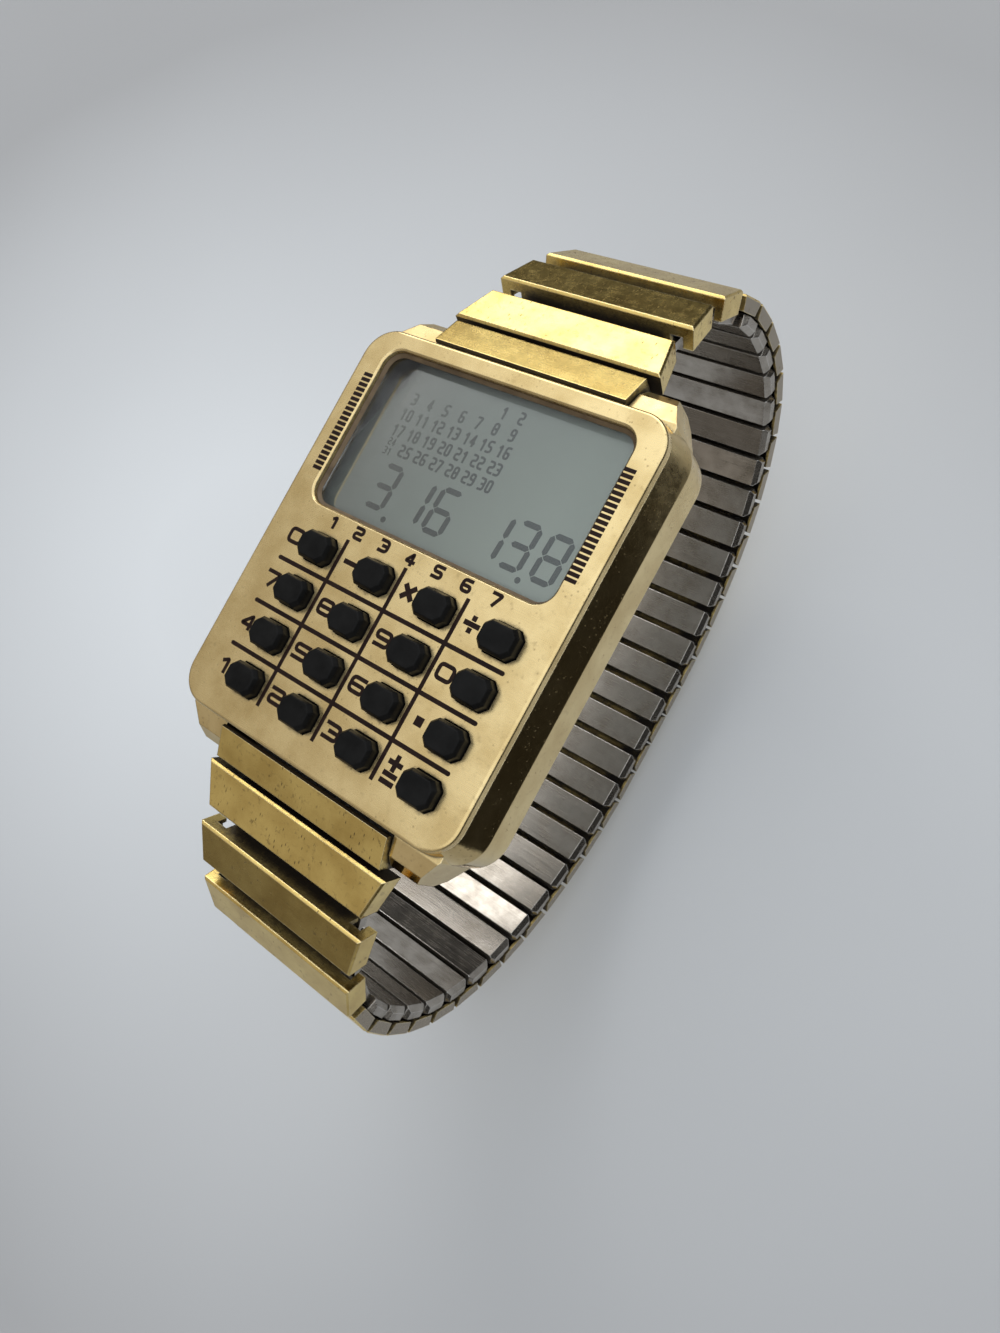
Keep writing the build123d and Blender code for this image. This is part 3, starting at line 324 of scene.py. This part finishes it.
def steel(name, pale, deep, rough, stretch, radius, shade_reach):
    """Stainless steel: fine lines, faint smears, painted shade standing for dirt in the gaps and a painted
    highlight on the edges.
    """
    finish = Finish(name, pale, 1.0, rough)
    streaks = finish.noise(2.5, stretch, 5.0, 0.65)
    smears = finish.noise(0.5, detail=4.0)
    rounded, edge = finish.edges(radius)
    body = finish.mix(finish.span(smears, 0.35, 0.7), pale, deep)
    # Painted shade in the gaps, standing for dirt, and a painted highlight on the edges.
    dirt_and_shade = finish.crevice(shade_reach)
    body = finish.mix(dirt_and_shade, finish.mix(edge, body, STEEL_EDGE_HIGHLIGHT), GRIME_AND_SHADE)
    finish.put(finish.shader.inputs["Base Color"], body)
    finish.put(finish.shader.inputs["Metallic"], finish.span(dirt_and_shade, 0.0, 1.0, 1.0, 0.2))
    grain = finish.span(streaks, 0.3, 0.7, rough - 0.07, rough + 0.07)
    grain = finish.sum(grain, finish.span(smears, 0.4, 0.75, 0.0, 0.1))
    finish.put(finish.shader.inputs["Roughness"], grain)
    finish.bump(streaks, 0.003 * MM, rounded)
    return finish.material


def moulded(name, pale, deep, rough, relief, radius, bend=1.5):
    """Moulded plastic or rubber: fine grain and faint wear."""
    finish = Finish(name, pale, 0.0, rough)
    finish.put(finish.shader.inputs["IOR"], bend)
    wear = finish.noise(0.7, detail=4.0)
    grain = finish.noise(12.0, detail=3.0)
    rounded = finish.edges(radius)[0]
    body = finish.mix(finish.span(wear, 0.35, 0.7), pale, deep)
    finish.put(finish.shader.inputs["Base Color"], body)
    finish.put(finish.shader.inputs["Roughness"], finish.span(wear, 0.3, 0.7, rough - 0.05, rough + 0.08))
    finish.bump(grain, relief, rounded)
    return finish.material


def window_glass():
    """Clear mineral glass with faint smears, that lets the lamps through."""
    finish = Finish("window_glass", (1.0, 1.0, 1.0), 0.0, 0.03)
    nodes = finish.tree.nodes
    nodes.remove(finish.shader)
    smears = finish.noise(0.4, detail=4.0)
    clear = finish.node("BsdfTransparent", {"Color": (0.955, 0.97, 0.962)})
    shine = finish.node("BsdfGlossy", {"Roughness": finish.span(smears, 0.35, 0.75, 0.02, 0.09)})
    fresnel = finish.node("Fresnel", {"IOR": 1.45})
    made = finish.node("MixShader", {0: fresnel.outputs[0], 1: clear.outputs[0], 2: shine.outputs[0]})
    finish.put(nodes["Material Output"].inputs["Surface"], made.outputs[0])
    return finish.material


def lcd_finish():
    """Grey green liquid crystal: cloudy, with painted shade that darkens it towards its left end and twelve
    o'clock.
    """
    finish = Finish("liquid_crystal", (0.4, 0.42, 0.4), 0.0, 0.45)
    clouds = finish.noise(0.12, detail=3.0)
    fine = finish.noise(9.0, detail=2.0)
    place = finish.node("SeparateXYZ", {"Vector": finish.place()}).outputs
    # Painted shade: darker towards the left end and towards twelve o'clock.
    across = finish.span(place["X"], -14.0, 9.0, 0.85, 0.0)
    along = finish.span(place["Y"], 4.0, 18.0, 0.0, 0.3)
    body = finish.mix(finish.sum(across, along), (0.43, 0.465, 0.42), (0.10, 0.11, 0.10))
    body = finish.mix(finish.span(clouds, 0.3, 0.75, 0.0, 0.3), body, (0.38, 0.41, 0.38))
    body = finish.mix(finish.span(fine, 0.3, 0.7, 0.0, 0.06), body, (0.2, 0.22, 0.2))
    finish.put(finish.shader.inputs["Base Color"], body)
    finish.bump(fine, 0.001 * MM)
    return finish.material


def segment_finish():
    """Dark segments of the display, with painted shade that darkens them towards its left end."""
    finish = Finish("segment_grey", (0.07, 0.08, 0.078), 0.0, 0.5)
    finish.put(finish.shader.inputs["Specular IOR Level"], 0.3)
    clouds = finish.noise(0.6, detail=3.0)
    place = finish.node("SeparateXYZ", {"Vector": finish.place()}).outputs
    # Painted shade: darker towards the left end.
    across = finish.span(place["X"], -12.0, 10.0)
    body = finish.mix(across, (0.02, 0.023, 0.021), (0.075, 0.087, 0.087))
    body = finish.mix(finish.span(clouds, 0.4, 0.7, 0.0, 0.2), body, (0.10, 0.11, 0.105))
    finish.put(finish.shader.inputs["Base Color"], body)
    finish.bump(clouds, 0.001 * MM)
    return finish.material


def board_finish():
    """Green solder mask with copper tracks showing through."""
    finish = Finish("green_board", (0.02, 0.14, 0.06), 0.0, 0.35)
    waves = finish.node("TexWave", {"Vector": finish.place(), "Scale": 0.6, "Distortion": 6.0})
    tracks = finish.span(waves.outputs["Fac"], 0.8, 0.84)
    body = finish.mix(tracks, (0.015, 0.11, 0.045), (0.05, 0.22, 0.09))
    finish.put(finish.shader.inputs["Base Color"], body)
    finish.bump(tracks, 0.02 * MM)
    return finish.material


def ink_finish(name, pale, deep, rough, shine):
    """Printed ink: nearly even, with faint worn patches."""
    finish = Finish(name, pale, 0.0, rough)
    finish.put(finish.shader.inputs["Specular IOR Level"], shine)
    wear = finish.noise(1.6, detail=4.0)
    body = finish.mix(finish.span(wear, 0.45, 0.75), pale, deep)
    finish.put(finish.shader.inputs["Base Color"], body)
    finish.put(finish.shader.inputs["Roughness"], finish.span(wear, 0.3, 0.7, rough - 0.08, rough + 0.1))
    finish.bump(wear, 0.002 * MM)
    return finish.material


FINISHES = {
    "gold_plate": gold("face_gold", PALE_GOLD, DEEP_GOLD, rough=0.27, streak=0.03, tarnish=0.35,
                       stretch=ALONG_X, radius=0.08 * MM, shade_reach=0.7 * MM),
    "gold_case": gold("case_gold", PALE_GOLD, DEEP_GOLD, rough=0.1, streak=0.01, tarnish=0.3,
                      stretch=EVEN, radius=0.14 * MM, shade_reach=0.5 * MM, dust=0.35),
    "gold_caps": gold("cap_gold", PALE_CAP, DEEP_CAP, rough=0.17, streak=0.03, tarnish=0.8,
                      stretch=ALONG_X, radius=0.15 * MM, shade_reach=2.4 * MM, dust=0.1, marks=DASHES),
    "steel": steel("link_steel", (0.42, 0.385, 0.34), (0.29, 0.26, 0.22), rough=0.2,
                   stretch=ALONG_X, radius=0.12 * MM, shade_reach=0.9 * MM),
    "steel_back": steel("back_steel", (0.6, 0.6, 0.58), (0.5, 0.5, 0.48), rough=0.3,
                        stretch=ALONG_Y, radius=0.1 * MM, shade_reach=0.3 * MM),
    "bright_steel": steel("bright_steel", (0.65, 0.65, 0.65), (0.55, 0.55, 0.55), rough=0.15,
                          stretch=EVEN, radius=0.05 * MM, shade_reach=0.2 * MM),
    "rubber": moulded("black_rubber", (0.02, 0.02, 0.02), (0.035, 0.034, 0.033), rough=0.7,
                      relief=0.01 * MM, radius=0.05 * MM),
    "key": moulded("key_plastic", (0.005, 0.005, 0.005), (0.009, 0.009, 0.009), rough=0.32,
                   relief=0.002 * MM, radius=0.2 * MM, bend=1.17),
    "window": window_glass(),
    "lcd": lcd_finish(),
    "foil": steel("grey_foil", (0.5, 0.53, 0.5), (0.42, 0.45, 0.42), rough=0.45,
                  stretch=EVEN, radius=0.02 * MM, shade_reach=0.2 * MM),
    "black_plastic": moulded("black_plastic", (0.03, 0.025, 0.02), (0.05, 0.04, 0.032), rough=0.5,
                             relief=0.006 * MM, radius=0.05 * MM),
    "board": board_finish(),
    "buzzer": steel("brass_disc", (0.62, 0.5, 0.28), (0.5, 0.4, 0.22), rough=0.35,
                    stretch=EVEN, radius=0.05 * MM, shade_reach=0.2 * MM),
}
NARROW_CAPS = gold("narrow_cap_gold", PALE_CAP, DEEP_CAP, rough=0.26, streak=0.04, tarnish=0.8,
                   stretch=ALONG_X, radius=0.12 * MM, shade_reach=2.2 * MM, dust=0.1, marks=DASHES, ends=CAP_END)
# Brown of the ring round the window: painted shade of the plate's inner wall.
SEAL_WALL_SHADE = moulded("window_seal", (0.15, 0.105, 0.06), (0.09, 0.062, 0.036), rough=0.4,
               relief=0.004 * MM, radius=0.03 * MM, bend=1.3)
HOLDER = moulded("holder_plastic", (0.19, 0.18, 0.185), (0.13, 0.125, 0.13), rough=0.45,
                 relief=0.006 * MM, radius=0.05 * MM)
OWN_FINISHES = {"outer_caps": NARROW_CAPS, "display_holder": HOLDER}
INK = ink_finish("plate_ink", (0.012, 0.005, 0.004), (0.022, 0.011, 0.007), rough=0.45, shine=0.12)
SEGMENT = segment_finish()


def dress_nodes():
    """Every CAD node takes the finish of its slot in the record, or its own."""
    for part in frame["record"]["subparts"]:
        materials = frame["nodes"][part["node"]].data.materials
        materials.clear()
        material = FINISHES[part["material_slot"]]
        for start, own in OWN_FINISHES.items():
            material = own if part["node"].startswith(start) else material
        materials.append(material)


def soften(points, closed, radius):
    """Centre line with its corners drawn round."""
    count = len(points)
    line = []
    for i, corner in enumerate(points):
        if not closed and i in (0, count - 1):
            line.append(Vector(corner))
            continue
        corner = Vector(corner)
        back = Vector(points[i - 1]) - corner
        ahead = Vector(points[(i + 1) % count]) - corner
        reach = min(radius, back.length / 2, ahead.length / 2)
        start = corner + back.normalized() * reach
        end = corner + ahead.normalized() * reach
        for step in range(CORNER_STEPS + 1):
            share = step / CORNER_STEPS
            line.append(start.lerp(corner, share).lerp(corner.lerp(end, share), share))
    return line


def ribbon(points, width, closed=False, radius=0.0):
    """Outline cells of a stroke: quads side by side along its centre line."""
    line = soften(points, closed, radius)
    least = width * STROKE_LEAST
    line = [p for i, p in enumerate(line) if i == 0 or (p - line[i - 1]).length > least]
    if closed and (line[0] - line[-1]).length < least:
        line.pop()
    count = len(line)
    sides = []
    for i, here in enumerate(line):
        before = line[i - 1] if closed or i else here
        after = line[(i + 1) % count] if closed or i < count - 1 else here
        way_in = (here - before).normalized() if here != before else (after - here).normalized()
        way_out = (after - here).normalized() if after != here else way_in
        normal = Vector((-way_in.y - way_out.y, way_in.x + way_out.x)).normalized()
        spread = width / 2 / max(MITRE_LEAST, normal.dot(Vector((-way_in.y, way_in.x))))
        sides.append((here + normal * spread, here - normal * spread))
    pairs = list(zip(sides, sides[1:]))
    if closed:
        pairs.append((sides[-1], sides[0]))
    return [(a[0], a[1], b[1], b[0]) for a, b in pairs]


def new_piece(name, mesh, material):
    """Object in the scene made of a finished mesh and one material."""
    data = bpy.data.meshes.new(name)
    mesh.to_mesh(data)
    mesh.free()
    data.materials.append(material)
    piece = bpy.data.objects.new(name, data)
    bpy.context.scene.collection.objects.link(piece)
    return piece


def flat_piece(name, cells, low, high, material, body, slot):
    """Thin solid piece made of flat outlines, standing between two heights."""
    mesh = bmesh.new()
    for cell in cells:
        if sum(a.x * b.y - a.y * b.x for a, b in zip(cell, (*cell[1:], cell[0]))) < 0:
            cell = tuple(reversed(cell))
        top = [mesh.verts.new((p.x, p.y, high)) for p in cell]
        base = [mesh.verts.new((p.x, p.y, low)) for p in cell]
        mesh.faces.new(top)
        mesh.faces.new(list(reversed(base)))
        for i in range(len(cell)):
            j = (i + 1) % len(cell)
            mesh.faces.new((top[i], base[i], base[j], top[j]))
    bmesh.ops.remove_doubles(mesh, verts=mesh.verts, dist=MERGE)
    mesh.verts.index_update()
    # Where two cells share a side, both of its faces go.
    inner = {}
    for face in mesh.faces:
        inner.setdefault(frozenset(v.index for v in face.verts), []).append(face)
    doubled = [face for faces in inner.values() if len(faces) > 1 for face in faces]
    bmesh.ops.delete(mesh, geom=doubled, context="FACES_ONLY")
    piece = new_piece(name, mesh, material)
    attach(piece, body)


def rectangle(x, y, width, height):
    """Flat rectangle about a place."""
    w, h = width / 2, height / 2
    return (Vector((x - w, y - h)), Vector((x + w, y - h)), Vector((x + w, y + h)), Vector((x - w, y + h)))


def round_spot(x, y, radius):
    """Flat round spot about a place."""
    turns = [2 * math.pi * i / DOT_STEPS for i in range(DOT_STEPS)]
    return tuple(Vector((x + radius * math.cos(a), y + radius * math.sin(a))) for a in turns)


def strokes(figure, w, h, t):
    """Centre lines of a figure in a cell from 0 to w and 0 to h: (points, closed)."""
    left, right, low, top, mid = t / 2, w - t / 2, t / 2, h - t / 2, h / 2
    ring = ([(left, low), (right, low), (right, top), (left, top)], True)
    stem = w * 0.66
    bar = h * 0.3
    table = {
        "0": [ring],
        "1": [([(w * 0.22, h * 0.66), (w * 0.6, top), (w * 0.6, 0)], False)],
        "2": [([(0, top), (right, top), (right, mid), (left, mid), (left, low), (w, low)], False)],
        "3": [([(0, top), (right, top), (right, low), (0, low)], False),
              ([(w * 0.28, mid), (right - t / 2, mid)], False)],
        "4": [([(stem, 0), (stem, top), (left, bar), (stem - t / 2, bar)], False),
              ([(stem + t / 2, bar), (w, bar)], False)],
        "5": [([(w, top), (left, top), (left, mid), (right, mid), (right, low), (0, low)], False)],
        "6": [([(w * 0.94, top), (left, top), (left, low), (right, low), (right, mid),
                (left + t / 2, mid)], False)],
        "7": [([(0, top), (right, top), (w * 0.36, 0)], False)],
        "8": [ring, ([(left + t / 2, mid), (right - t / 2, mid)], False)],
        "9": [([(w * 0.06, low), (right, low), (right, top), (left, top), (left, mid),
                (right - t / 2, mid)], False)],
    }
    return table[figure]


def figure_cells(text, x, y, w, h, t, gap=0.0):
    """Outline cells of one or more figures, centred on a place."""
    cells = []
    start = x - (len(text) * w + (len(text) - 1) * gap) / 2
    for i, figure in enumerate(text):
        corner = Vector((start + i * (w + gap), y - h / 2))
        for points, closed in strokes(figure, w, h, t):
            sharp = figure in "147"
            for cell in ribbon(points, t, closed, t * 0.6 if sharp else t * 1.1):
                cells.append(tuple(p + corner for p in cell))
    return cells


def key_middle(name):
    """Centre of a key, seen from above."""
    low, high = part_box("key_" + name)
    return (low.x + high.x) / 2, (low.y + high.y) / 2


KEY_ROWS = (
    ("clear", "minus", "times", "divide"),
    ("7", "8", "9", "0"),
    ("4", "5", "6", "point"),
    ("1", "2", "3", "equals"),
)


def sign_cells(name, x, y):
    """Outline cells of an arithmetic sign beside its key."""
    long, thick = SIGN_L, SIGN_T
    if name == "clear":
        return figure_cells("0", x, y, FIGURE_W, FIGURE_H, FIGURE_T)
    if name == "minus":
        return [rectangle(x, y, long, thick)]
    if name == "times":
        reach = long * TIMES_REACH
        stub = thick * TIMES_STUB
        cells = ribbon([(x - reach, y - reach), (x + reach, y + reach)], thick * TIMES_T)
        for side in (1, -1):
            far = (x - side * reach, y + side * reach)
            near = (x - side * stub, y + side * stub)
            cells += ribbon([far, near], thick * TIMES_T)
        return cells
    if name == "divide":
        dot = thick * DIVIDE_DOT
        spots = [rectangle(x, y + side * long * DIVIDE_RISE, dot, dot) for side in (1, -1)]
        return [rectangle(x, y, long * DIVIDE_L, thick)] + spots
    if name == "point":
        return [rectangle(x, y, thick * POINT_SIDE, thick * POINT_SIDE)]
    plus_y = y + SIGN_UP
    equals_y = y - SIGN_DOWN
    arm = (long - thick) / 2
    plus = [rectangle(x, plus_y, thick, long)]
    plus += [rectangle(x + side * (thick + arm) / 2, plus_y, arm, thick) for side in (1, -1)]
    gap = thick * EQUALS_APART
    return plus + [rectangle(x, equals_y + side * gap, long, thick) for side in (1, -1)]


def grid_cells():
    """Outline cells of the lines between the keys, which have round ends."""
    columns = [key_middle(name)[0] for name in KEY_ROWS[0]]
    rows = [key_middle(names[0])[1] for names in KEY_ROWS]
    half = GRID_W / 2
    lines = []
    uprights = [x - GRID_LEFT_OF_KEY for x in columns[1:]]
    levels = [(a + b) / 2 for a, b in zip(rows, rows[1:])]
    stops = [rows[0] + GRID_TOP_PAST] + levels + [rows[-1] - GRID_LOW_PAST]
    for x in uprights:
        for high, low in zip(stops, stops[1:]):
            above = high - (half if high in levels else 0.0)
            below = low + (half if low in levels else 0.0)
            lines.append(rectangle(x, (above + below) / 2, GRID_W, above - below))
    end = GRID_HALF_X - half
    turns = [math.pi * (i / GRID_END_STEPS - 0.5) for i in range(GRID_END_STEPS + 1)]
    for y in levels:
        for side in (1, -1):
            lines.append(tuple(Vector((side * (end + half * math.cos(a)), y + half * math.sin(a)))
                               for a in turns))
        lines.append(rectangle(0.0, y, end + end, GRID_W))
    return lines


def key_figure_cells():
    """Outline cells of the figure or sign to the left of each key."""
    figures = []
    for names in KEY_ROWS:
        for name in names:
            x, y = key_middle(name)
            x -= FIGURE_LEFT_OF_KEY
            y += FIGURE_RISE
            if name.isdigit():
                figures += figure_cells(name, x, y, FIGURE_W, FIGURE_H, FIGURE_T)
            else:
                figures += sign_cells(name, x, y)
    return figures


def day_cells():
    """Outline cells of the plain numbers that stand for the days."""
    window_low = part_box("display_glass")[0].y + GLASS_MARGIN
    days = []
    for i in range(WEEK):
        x = DAY_FIRST_X + (DAY_LAST_X - DAY_FIRST_X) * i / (WEEK - 1)
        days += figure_cells(str(i + 1), x, window_low - DAY_BELOW_WINDOW, DAY_W, DAY_H, DAY_T)
    return days


def hatch_cells():
    """Outline cells of the short bars at both ends of the window."""
    window_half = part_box("display_glass")[1].x - GLASS_MARGIN
    bars = []
    for side in (1, -1):
        x = side * (window_half + HATCH_OUT + HATCH_L / 2)
        for i in range(HATCH_COUNT):
            y = HATCH_LOW_Y + (HATCH_HIGH_Y - HATCH_LOW_Y) * i / (HATCH_COUNT - 1)
            bars.append(rectangle(x, y, HATCH_L, HATCH_W))
    return bars


def print_plate():
    """Grid, figures, day numbers and hatches printed on the plate."""
    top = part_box("face_plate")[1].z
    heights = (top - INK_SINK, top + INK_T)
    flat_piece("ink_grid", grid_cells(), *heights, INK, "case", "black_plastic")
    flat_piece("ink_key_figures", key_figure_cells(), *heights, INK, "case", "black_plastic")
    flat_piece("ink_day_numbers", day_cells(), *heights, INK, "case", "black_plastic")
    flat_piece("ink_hatches", hatch_cells(), *heights, INK, "case", "black_plastic")


SEGMENTS = {"1": "bc", "3": "abcdg", "6": "acdefg", "8": "abcdefg"}


def segment_cells(figure, x, y):
    """Outline cells of a seven segment figure."""
    half = BIG_W / 2 - BIG_T / 2
    up = BIG_H / 2 - BIG_T / 2
    ends = {
        "a": ((-half, up), (half, up)),
        "b": ((half, 0), (half, up)),
        "c": ((half, -up), (half, 0)),
        "d": ((-half, -up), (half, -up)),
        "e": ((-half, -up), (-half, 0)),
        "f": ((-half, 0), (-half, up)),
        "g": ((-half, 0), (half, 0)),
    }
    cells = []
    for letter in SEGMENTS[figure]:
        start, end = (Vector(p) for p in ends[letter])
        way = (end - start).normalized()
        side = Vector((-way.y, way.x)) * BIG_T / 2
        nose = way * BIG_T / 2
        start += way * BIG_GAP
        end -= way * BIG_GAP
        outline = (start, start + nose - side, end - nose - side,
                   end, end - nose + side, start + nose + side)
        cells.append(tuple(Vector((x + p.x + BIG_LEAN * p.y, y + p.y)) for p in outline))
    return cells


def calendar_cells():
    """Outline cells of the month. Two days share the first place of the last row."""
    sizes = (CAL_W, CAL_H, CAL_T, CAL_GAP)
    cells = []
    for day in range(1, CAL_DAYS + 1):
        if day in CAL_SHARED:
            continue
        row, column = divmod(day + CAL_SHIFT, WEEK)
        x = CAL_FIRST_X + column * CAL_PITCH_X
        y = CAL_TOP_Y - row * CAL_PITCH_Y
        cells += figure_cells(str(day), x, y, *sizes)
    small = [size * CAL_SMALL_SHARE for size in sizes]
    row = (CAL_SHARED[0] + CAL_SHIFT) // WEEK
    for day, side in zip(CAL_SHARED, (1, -1)):
        y = CAL_TOP_Y - row * CAL_PITCH_Y + side * CAL_H * CAL_SMALL_APART
        cells += figure_cells(str(day), CAL_FIRST_X, y, *small)
    return cells


def display_figures():
    """Calendar and big figures on the liquid crystal."""
    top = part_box("lcd_panel")[1].z
    heights = (top - LCD_SINK, top + LCD_T)
    flat_piece("lcd_calendar", calendar_cells(), *heights, SEGMENT, "case", "lcd")
    cells = []
    for figure, x in BIG_FIGURES:
        cells += segment_cells(figure, x * MM, BIG_MID_Y)
    cells += [round_spot(x * MM, y * MM, BIG_DOT_R) for x, y in BIG_DOTS]
    flat_piece("lcd_big_figures", cells, *heights, SEGMENT, "case", "lcd")


def window_seal():
    """Sealing ring between the window and the plate, sloping down towards the window; its brown is painted
    shade of the plate's inner wall.
    """
    low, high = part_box("display_glass")
    middle_y = (low.y + high.y) / 2
    base = high.z + SEAL_PLAY
    rings = []
    for inset, height in ((SEAL_PLAY, 0.0), (SEAL_PLAY, SEAL_H), (SEAL_W, SEAL_LIP), (SEAL_W, 0.0)):
        half_w = high.x - GLASS_MARGIN - inset
        half_l = (high.y - low.y) / 2 - GLASS_MARGIN - inset
        radius = WINDOW_R - inset
        ring = []
        for quarter, (sx, sy) in enumerate(((1, 1), (-1, 1), (-1, -1), (1, -1))):
            for step in range(SEAL_STEPS + 1):
                turn = math.pi / 2 * (quarter + step / SEAL_STEPS)
                x = sx * (half_w - radius) + radius * math.cos(turn)
                y = sy * (half_l - radius) + radius * math.sin(turn)
                ring.append((x, middle_y + y, base + height))
        rings.append(ring)
    mesh = bmesh.new()
    rows = [[mesh.verts.new(p) for p in ring] for ring in rings]
    for row, after in zip(rows, (*rows[1:], rows[0])):
        for i in range(len(row)):
            j = (i + 1) % len(row)
            mesh.faces.new((row[i], row[j], after[j], after[i]))
    bmesh.ops.recalc_face_normals(mesh, faces=mesh.faces)
    piece = new_piece("window_seal", mesh, SEAL_WALL_SHADE)
    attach(piece, "case")


def floor_finish():
    """Pale paper with a painted pool of light, greyer away from the watch."""
    finish = Finish("floor_paper", FLOOR_PALE, 0.0, 0.7)
    spot = finish.place(*FLOOR_STRETCH)
    reach = finish.node("VectorMath", {0: spot, 1: LIGHT_POOL_MIDDLE}, operation="DISTANCE")
    share = finish.span(reach.outputs["Value"], FLOOR_NEAR, FLOOR_FAR)
    clouds = finish.span(finish.noise(0.01, detail=2.0), 0.3, 0.7, -0.04, 0.04)
    paper = finish.mix(finish.sum(share, clouds), FLOOR_PALE, FLOOR_GREY_SHADE)
    finish.put(finish.shader.inputs["Base Color"], paper)
    return finish.material


def card_finish():
    """Matt black card."""
    finish = Finish("card_paper", (0.02, 0.018, 0.015), 0.0, 0.9)
    finish.put(finish.shader.inputs["Roughness"], finish.span(finish.noise(0.2), 0.3, 0.7, 0.85, 0.95))
    return finish.material


def dark_card(name, place, height, length, turn):
    """Upright dark card that only reflections show."""
    middle = (*place, height / 2 + MM)
    bpy.ops.mesh.primitive_plane_add(size=1.0, location=middle, rotation=(0.0, math.pi / 2, turn))
    card = bpy.context.object
    card.name = name
    card.scale = (height, length, 1.0)
    card.data.materials.append(card_finish())
    card.visible_camera = False
    card.visible_diffuse = False
    card.visible_shadow = False


def stage():
    """Pale floor, low enough for the stretched band, and the cards beside and behind the watch."""
    bpy.ops.mesh.primitive_plane_add(size=FLOOR_SIZE, location=(0.0, 0.0, FLOOR_Z))
    floor = bpy.context.object
    floor.name = "floor"
    floor.data.materials.append(floor_finish())
    dark_card("side_card", **SIDE_CARD)
    dark_card("far_card", **FAR_CARD)


def lamp(name, place, aim, width, height, power, colour):
    """Soft rectangular lamp turned towards a point."""
    data = bpy.data.lights.new(name, "AREA")
    data.shape = "RECTANGLE"
    data.size = width
    data.size_y = height
    data.energy = power
    data.color = colour
    made = bpy.data.objects.new(name, data)
    bpy.context.scene.collection.objects.link(made)
    made.location = place
    made.rotation_euler = (Vector(aim) - Vector(place)).to_track_quat("-Z", "Y").to_euler()


def sky_ramp(tree, source, low, high, to_low, to_high):
    """Value of the sky carried smoothly from one range to another."""
    ramp = tree.nodes.new("ShaderNodeMapRange")
    ramp.interpolation_type = "SMOOTHSTEP"
    tree.links.new(source, ramp.inputs["Value"])
    ramp.inputs["From Min"].default_value = low
    ramp.inputs["From Max"].default_value = high
    ramp.inputs["To Min"].default_value = to_low
    ramp.inputs["To Max"].default_value = to_high
    return ramp.outputs[0]


def light():
    """Soft studio light: a sky with one bright side and one soft box."""
    world = bpy.data.worlds.new("studio")
    world.use_nodes = True
    bpy.context.scene.world = world
    tree = world.node_tree
    background = tree.nodes["Background"]
    coords = tree.nodes.new("ShaderNodeTexCoord")
    dot = tree.nodes.new("ShaderNodeVectorMath")
    dot.operation = "DOT_PRODUCT"
    tree.links.new(coords.outputs["Generated"], dot.inputs[0])
    dot.inputs[1].default_value = Vector(SKY_WAY).normalized()
    split = tree.nodes.new("ShaderNodeSeparateXYZ")
    tree.links.new(coords.outputs["Generated"], split.inputs[0])
    by_side = sky_ramp(tree, dot.outputs["Value"], SKY_START, SKY_END, SKY_DIM, SKY_BRIGHT)
    by_height = sky_ramp(tree, split.outputs["Z"], HORIZON_LOW, HORIZON_HIGH, HORIZON_SHARE, 1.0)
    strength = tree.nodes.new("ShaderNodeMath")
    strength.operation = "MULTIPLY"
    tree.links.new(by_side, strength.inputs[0])
    tree.links.new(by_height, strength.inputs[1])
    tree.links.new(strength.outputs[0], background.inputs["Strength"])
    share = tree.nodes.new("ShaderNodeMapRange")
    tree.links.new(dot.outputs["Value"], share.inputs["Value"])
    share.inputs["From Max"].default_value = SKY_END
    colour = tree.nodes.new("ShaderNodeMix")
    colour.data_type = "RGBA"
    tree.links.new(share.outputs[0], colour.inputs[0])
    colour.inputs[6].default_value = (*SKY_WARM, 1.0)
    colour.inputs[7].default_value = (*SKY_COOL, 1.0)
    tree.links.new(colour.outputs[2], background.inputs["Color"])
    lamp("back_soft_box", **SOFT_BOX)


def camera():
    """Camera at the photograph's place and angle."""
    data = bpy.data.cameras.new("photo_camera")
    data.lens = CAMERA_LENS
    data.sensor_width = CAMERA_SENSOR
    data.clip_start = CAMERA_NEAR
    made = bpy.data.objects.new("photo_camera", data)
    bpy.context.scene.collection.objects.link(made)
    turn = Matrix((CAMERA_RIGHT, CAMERA_UP, CAMERA_BACK)).transposed().to_4x4()
    made.matrix_world = Matrix.Translation(Vector(CAMERA_AT) * MM) @ turn
    bpy.context.scene.camera = made


dress_nodes()
print_plate()
display_figures()
window_seal()
stage()
light()
camera()
bpy.context.scene.view_settings.view_transform = "Standard"
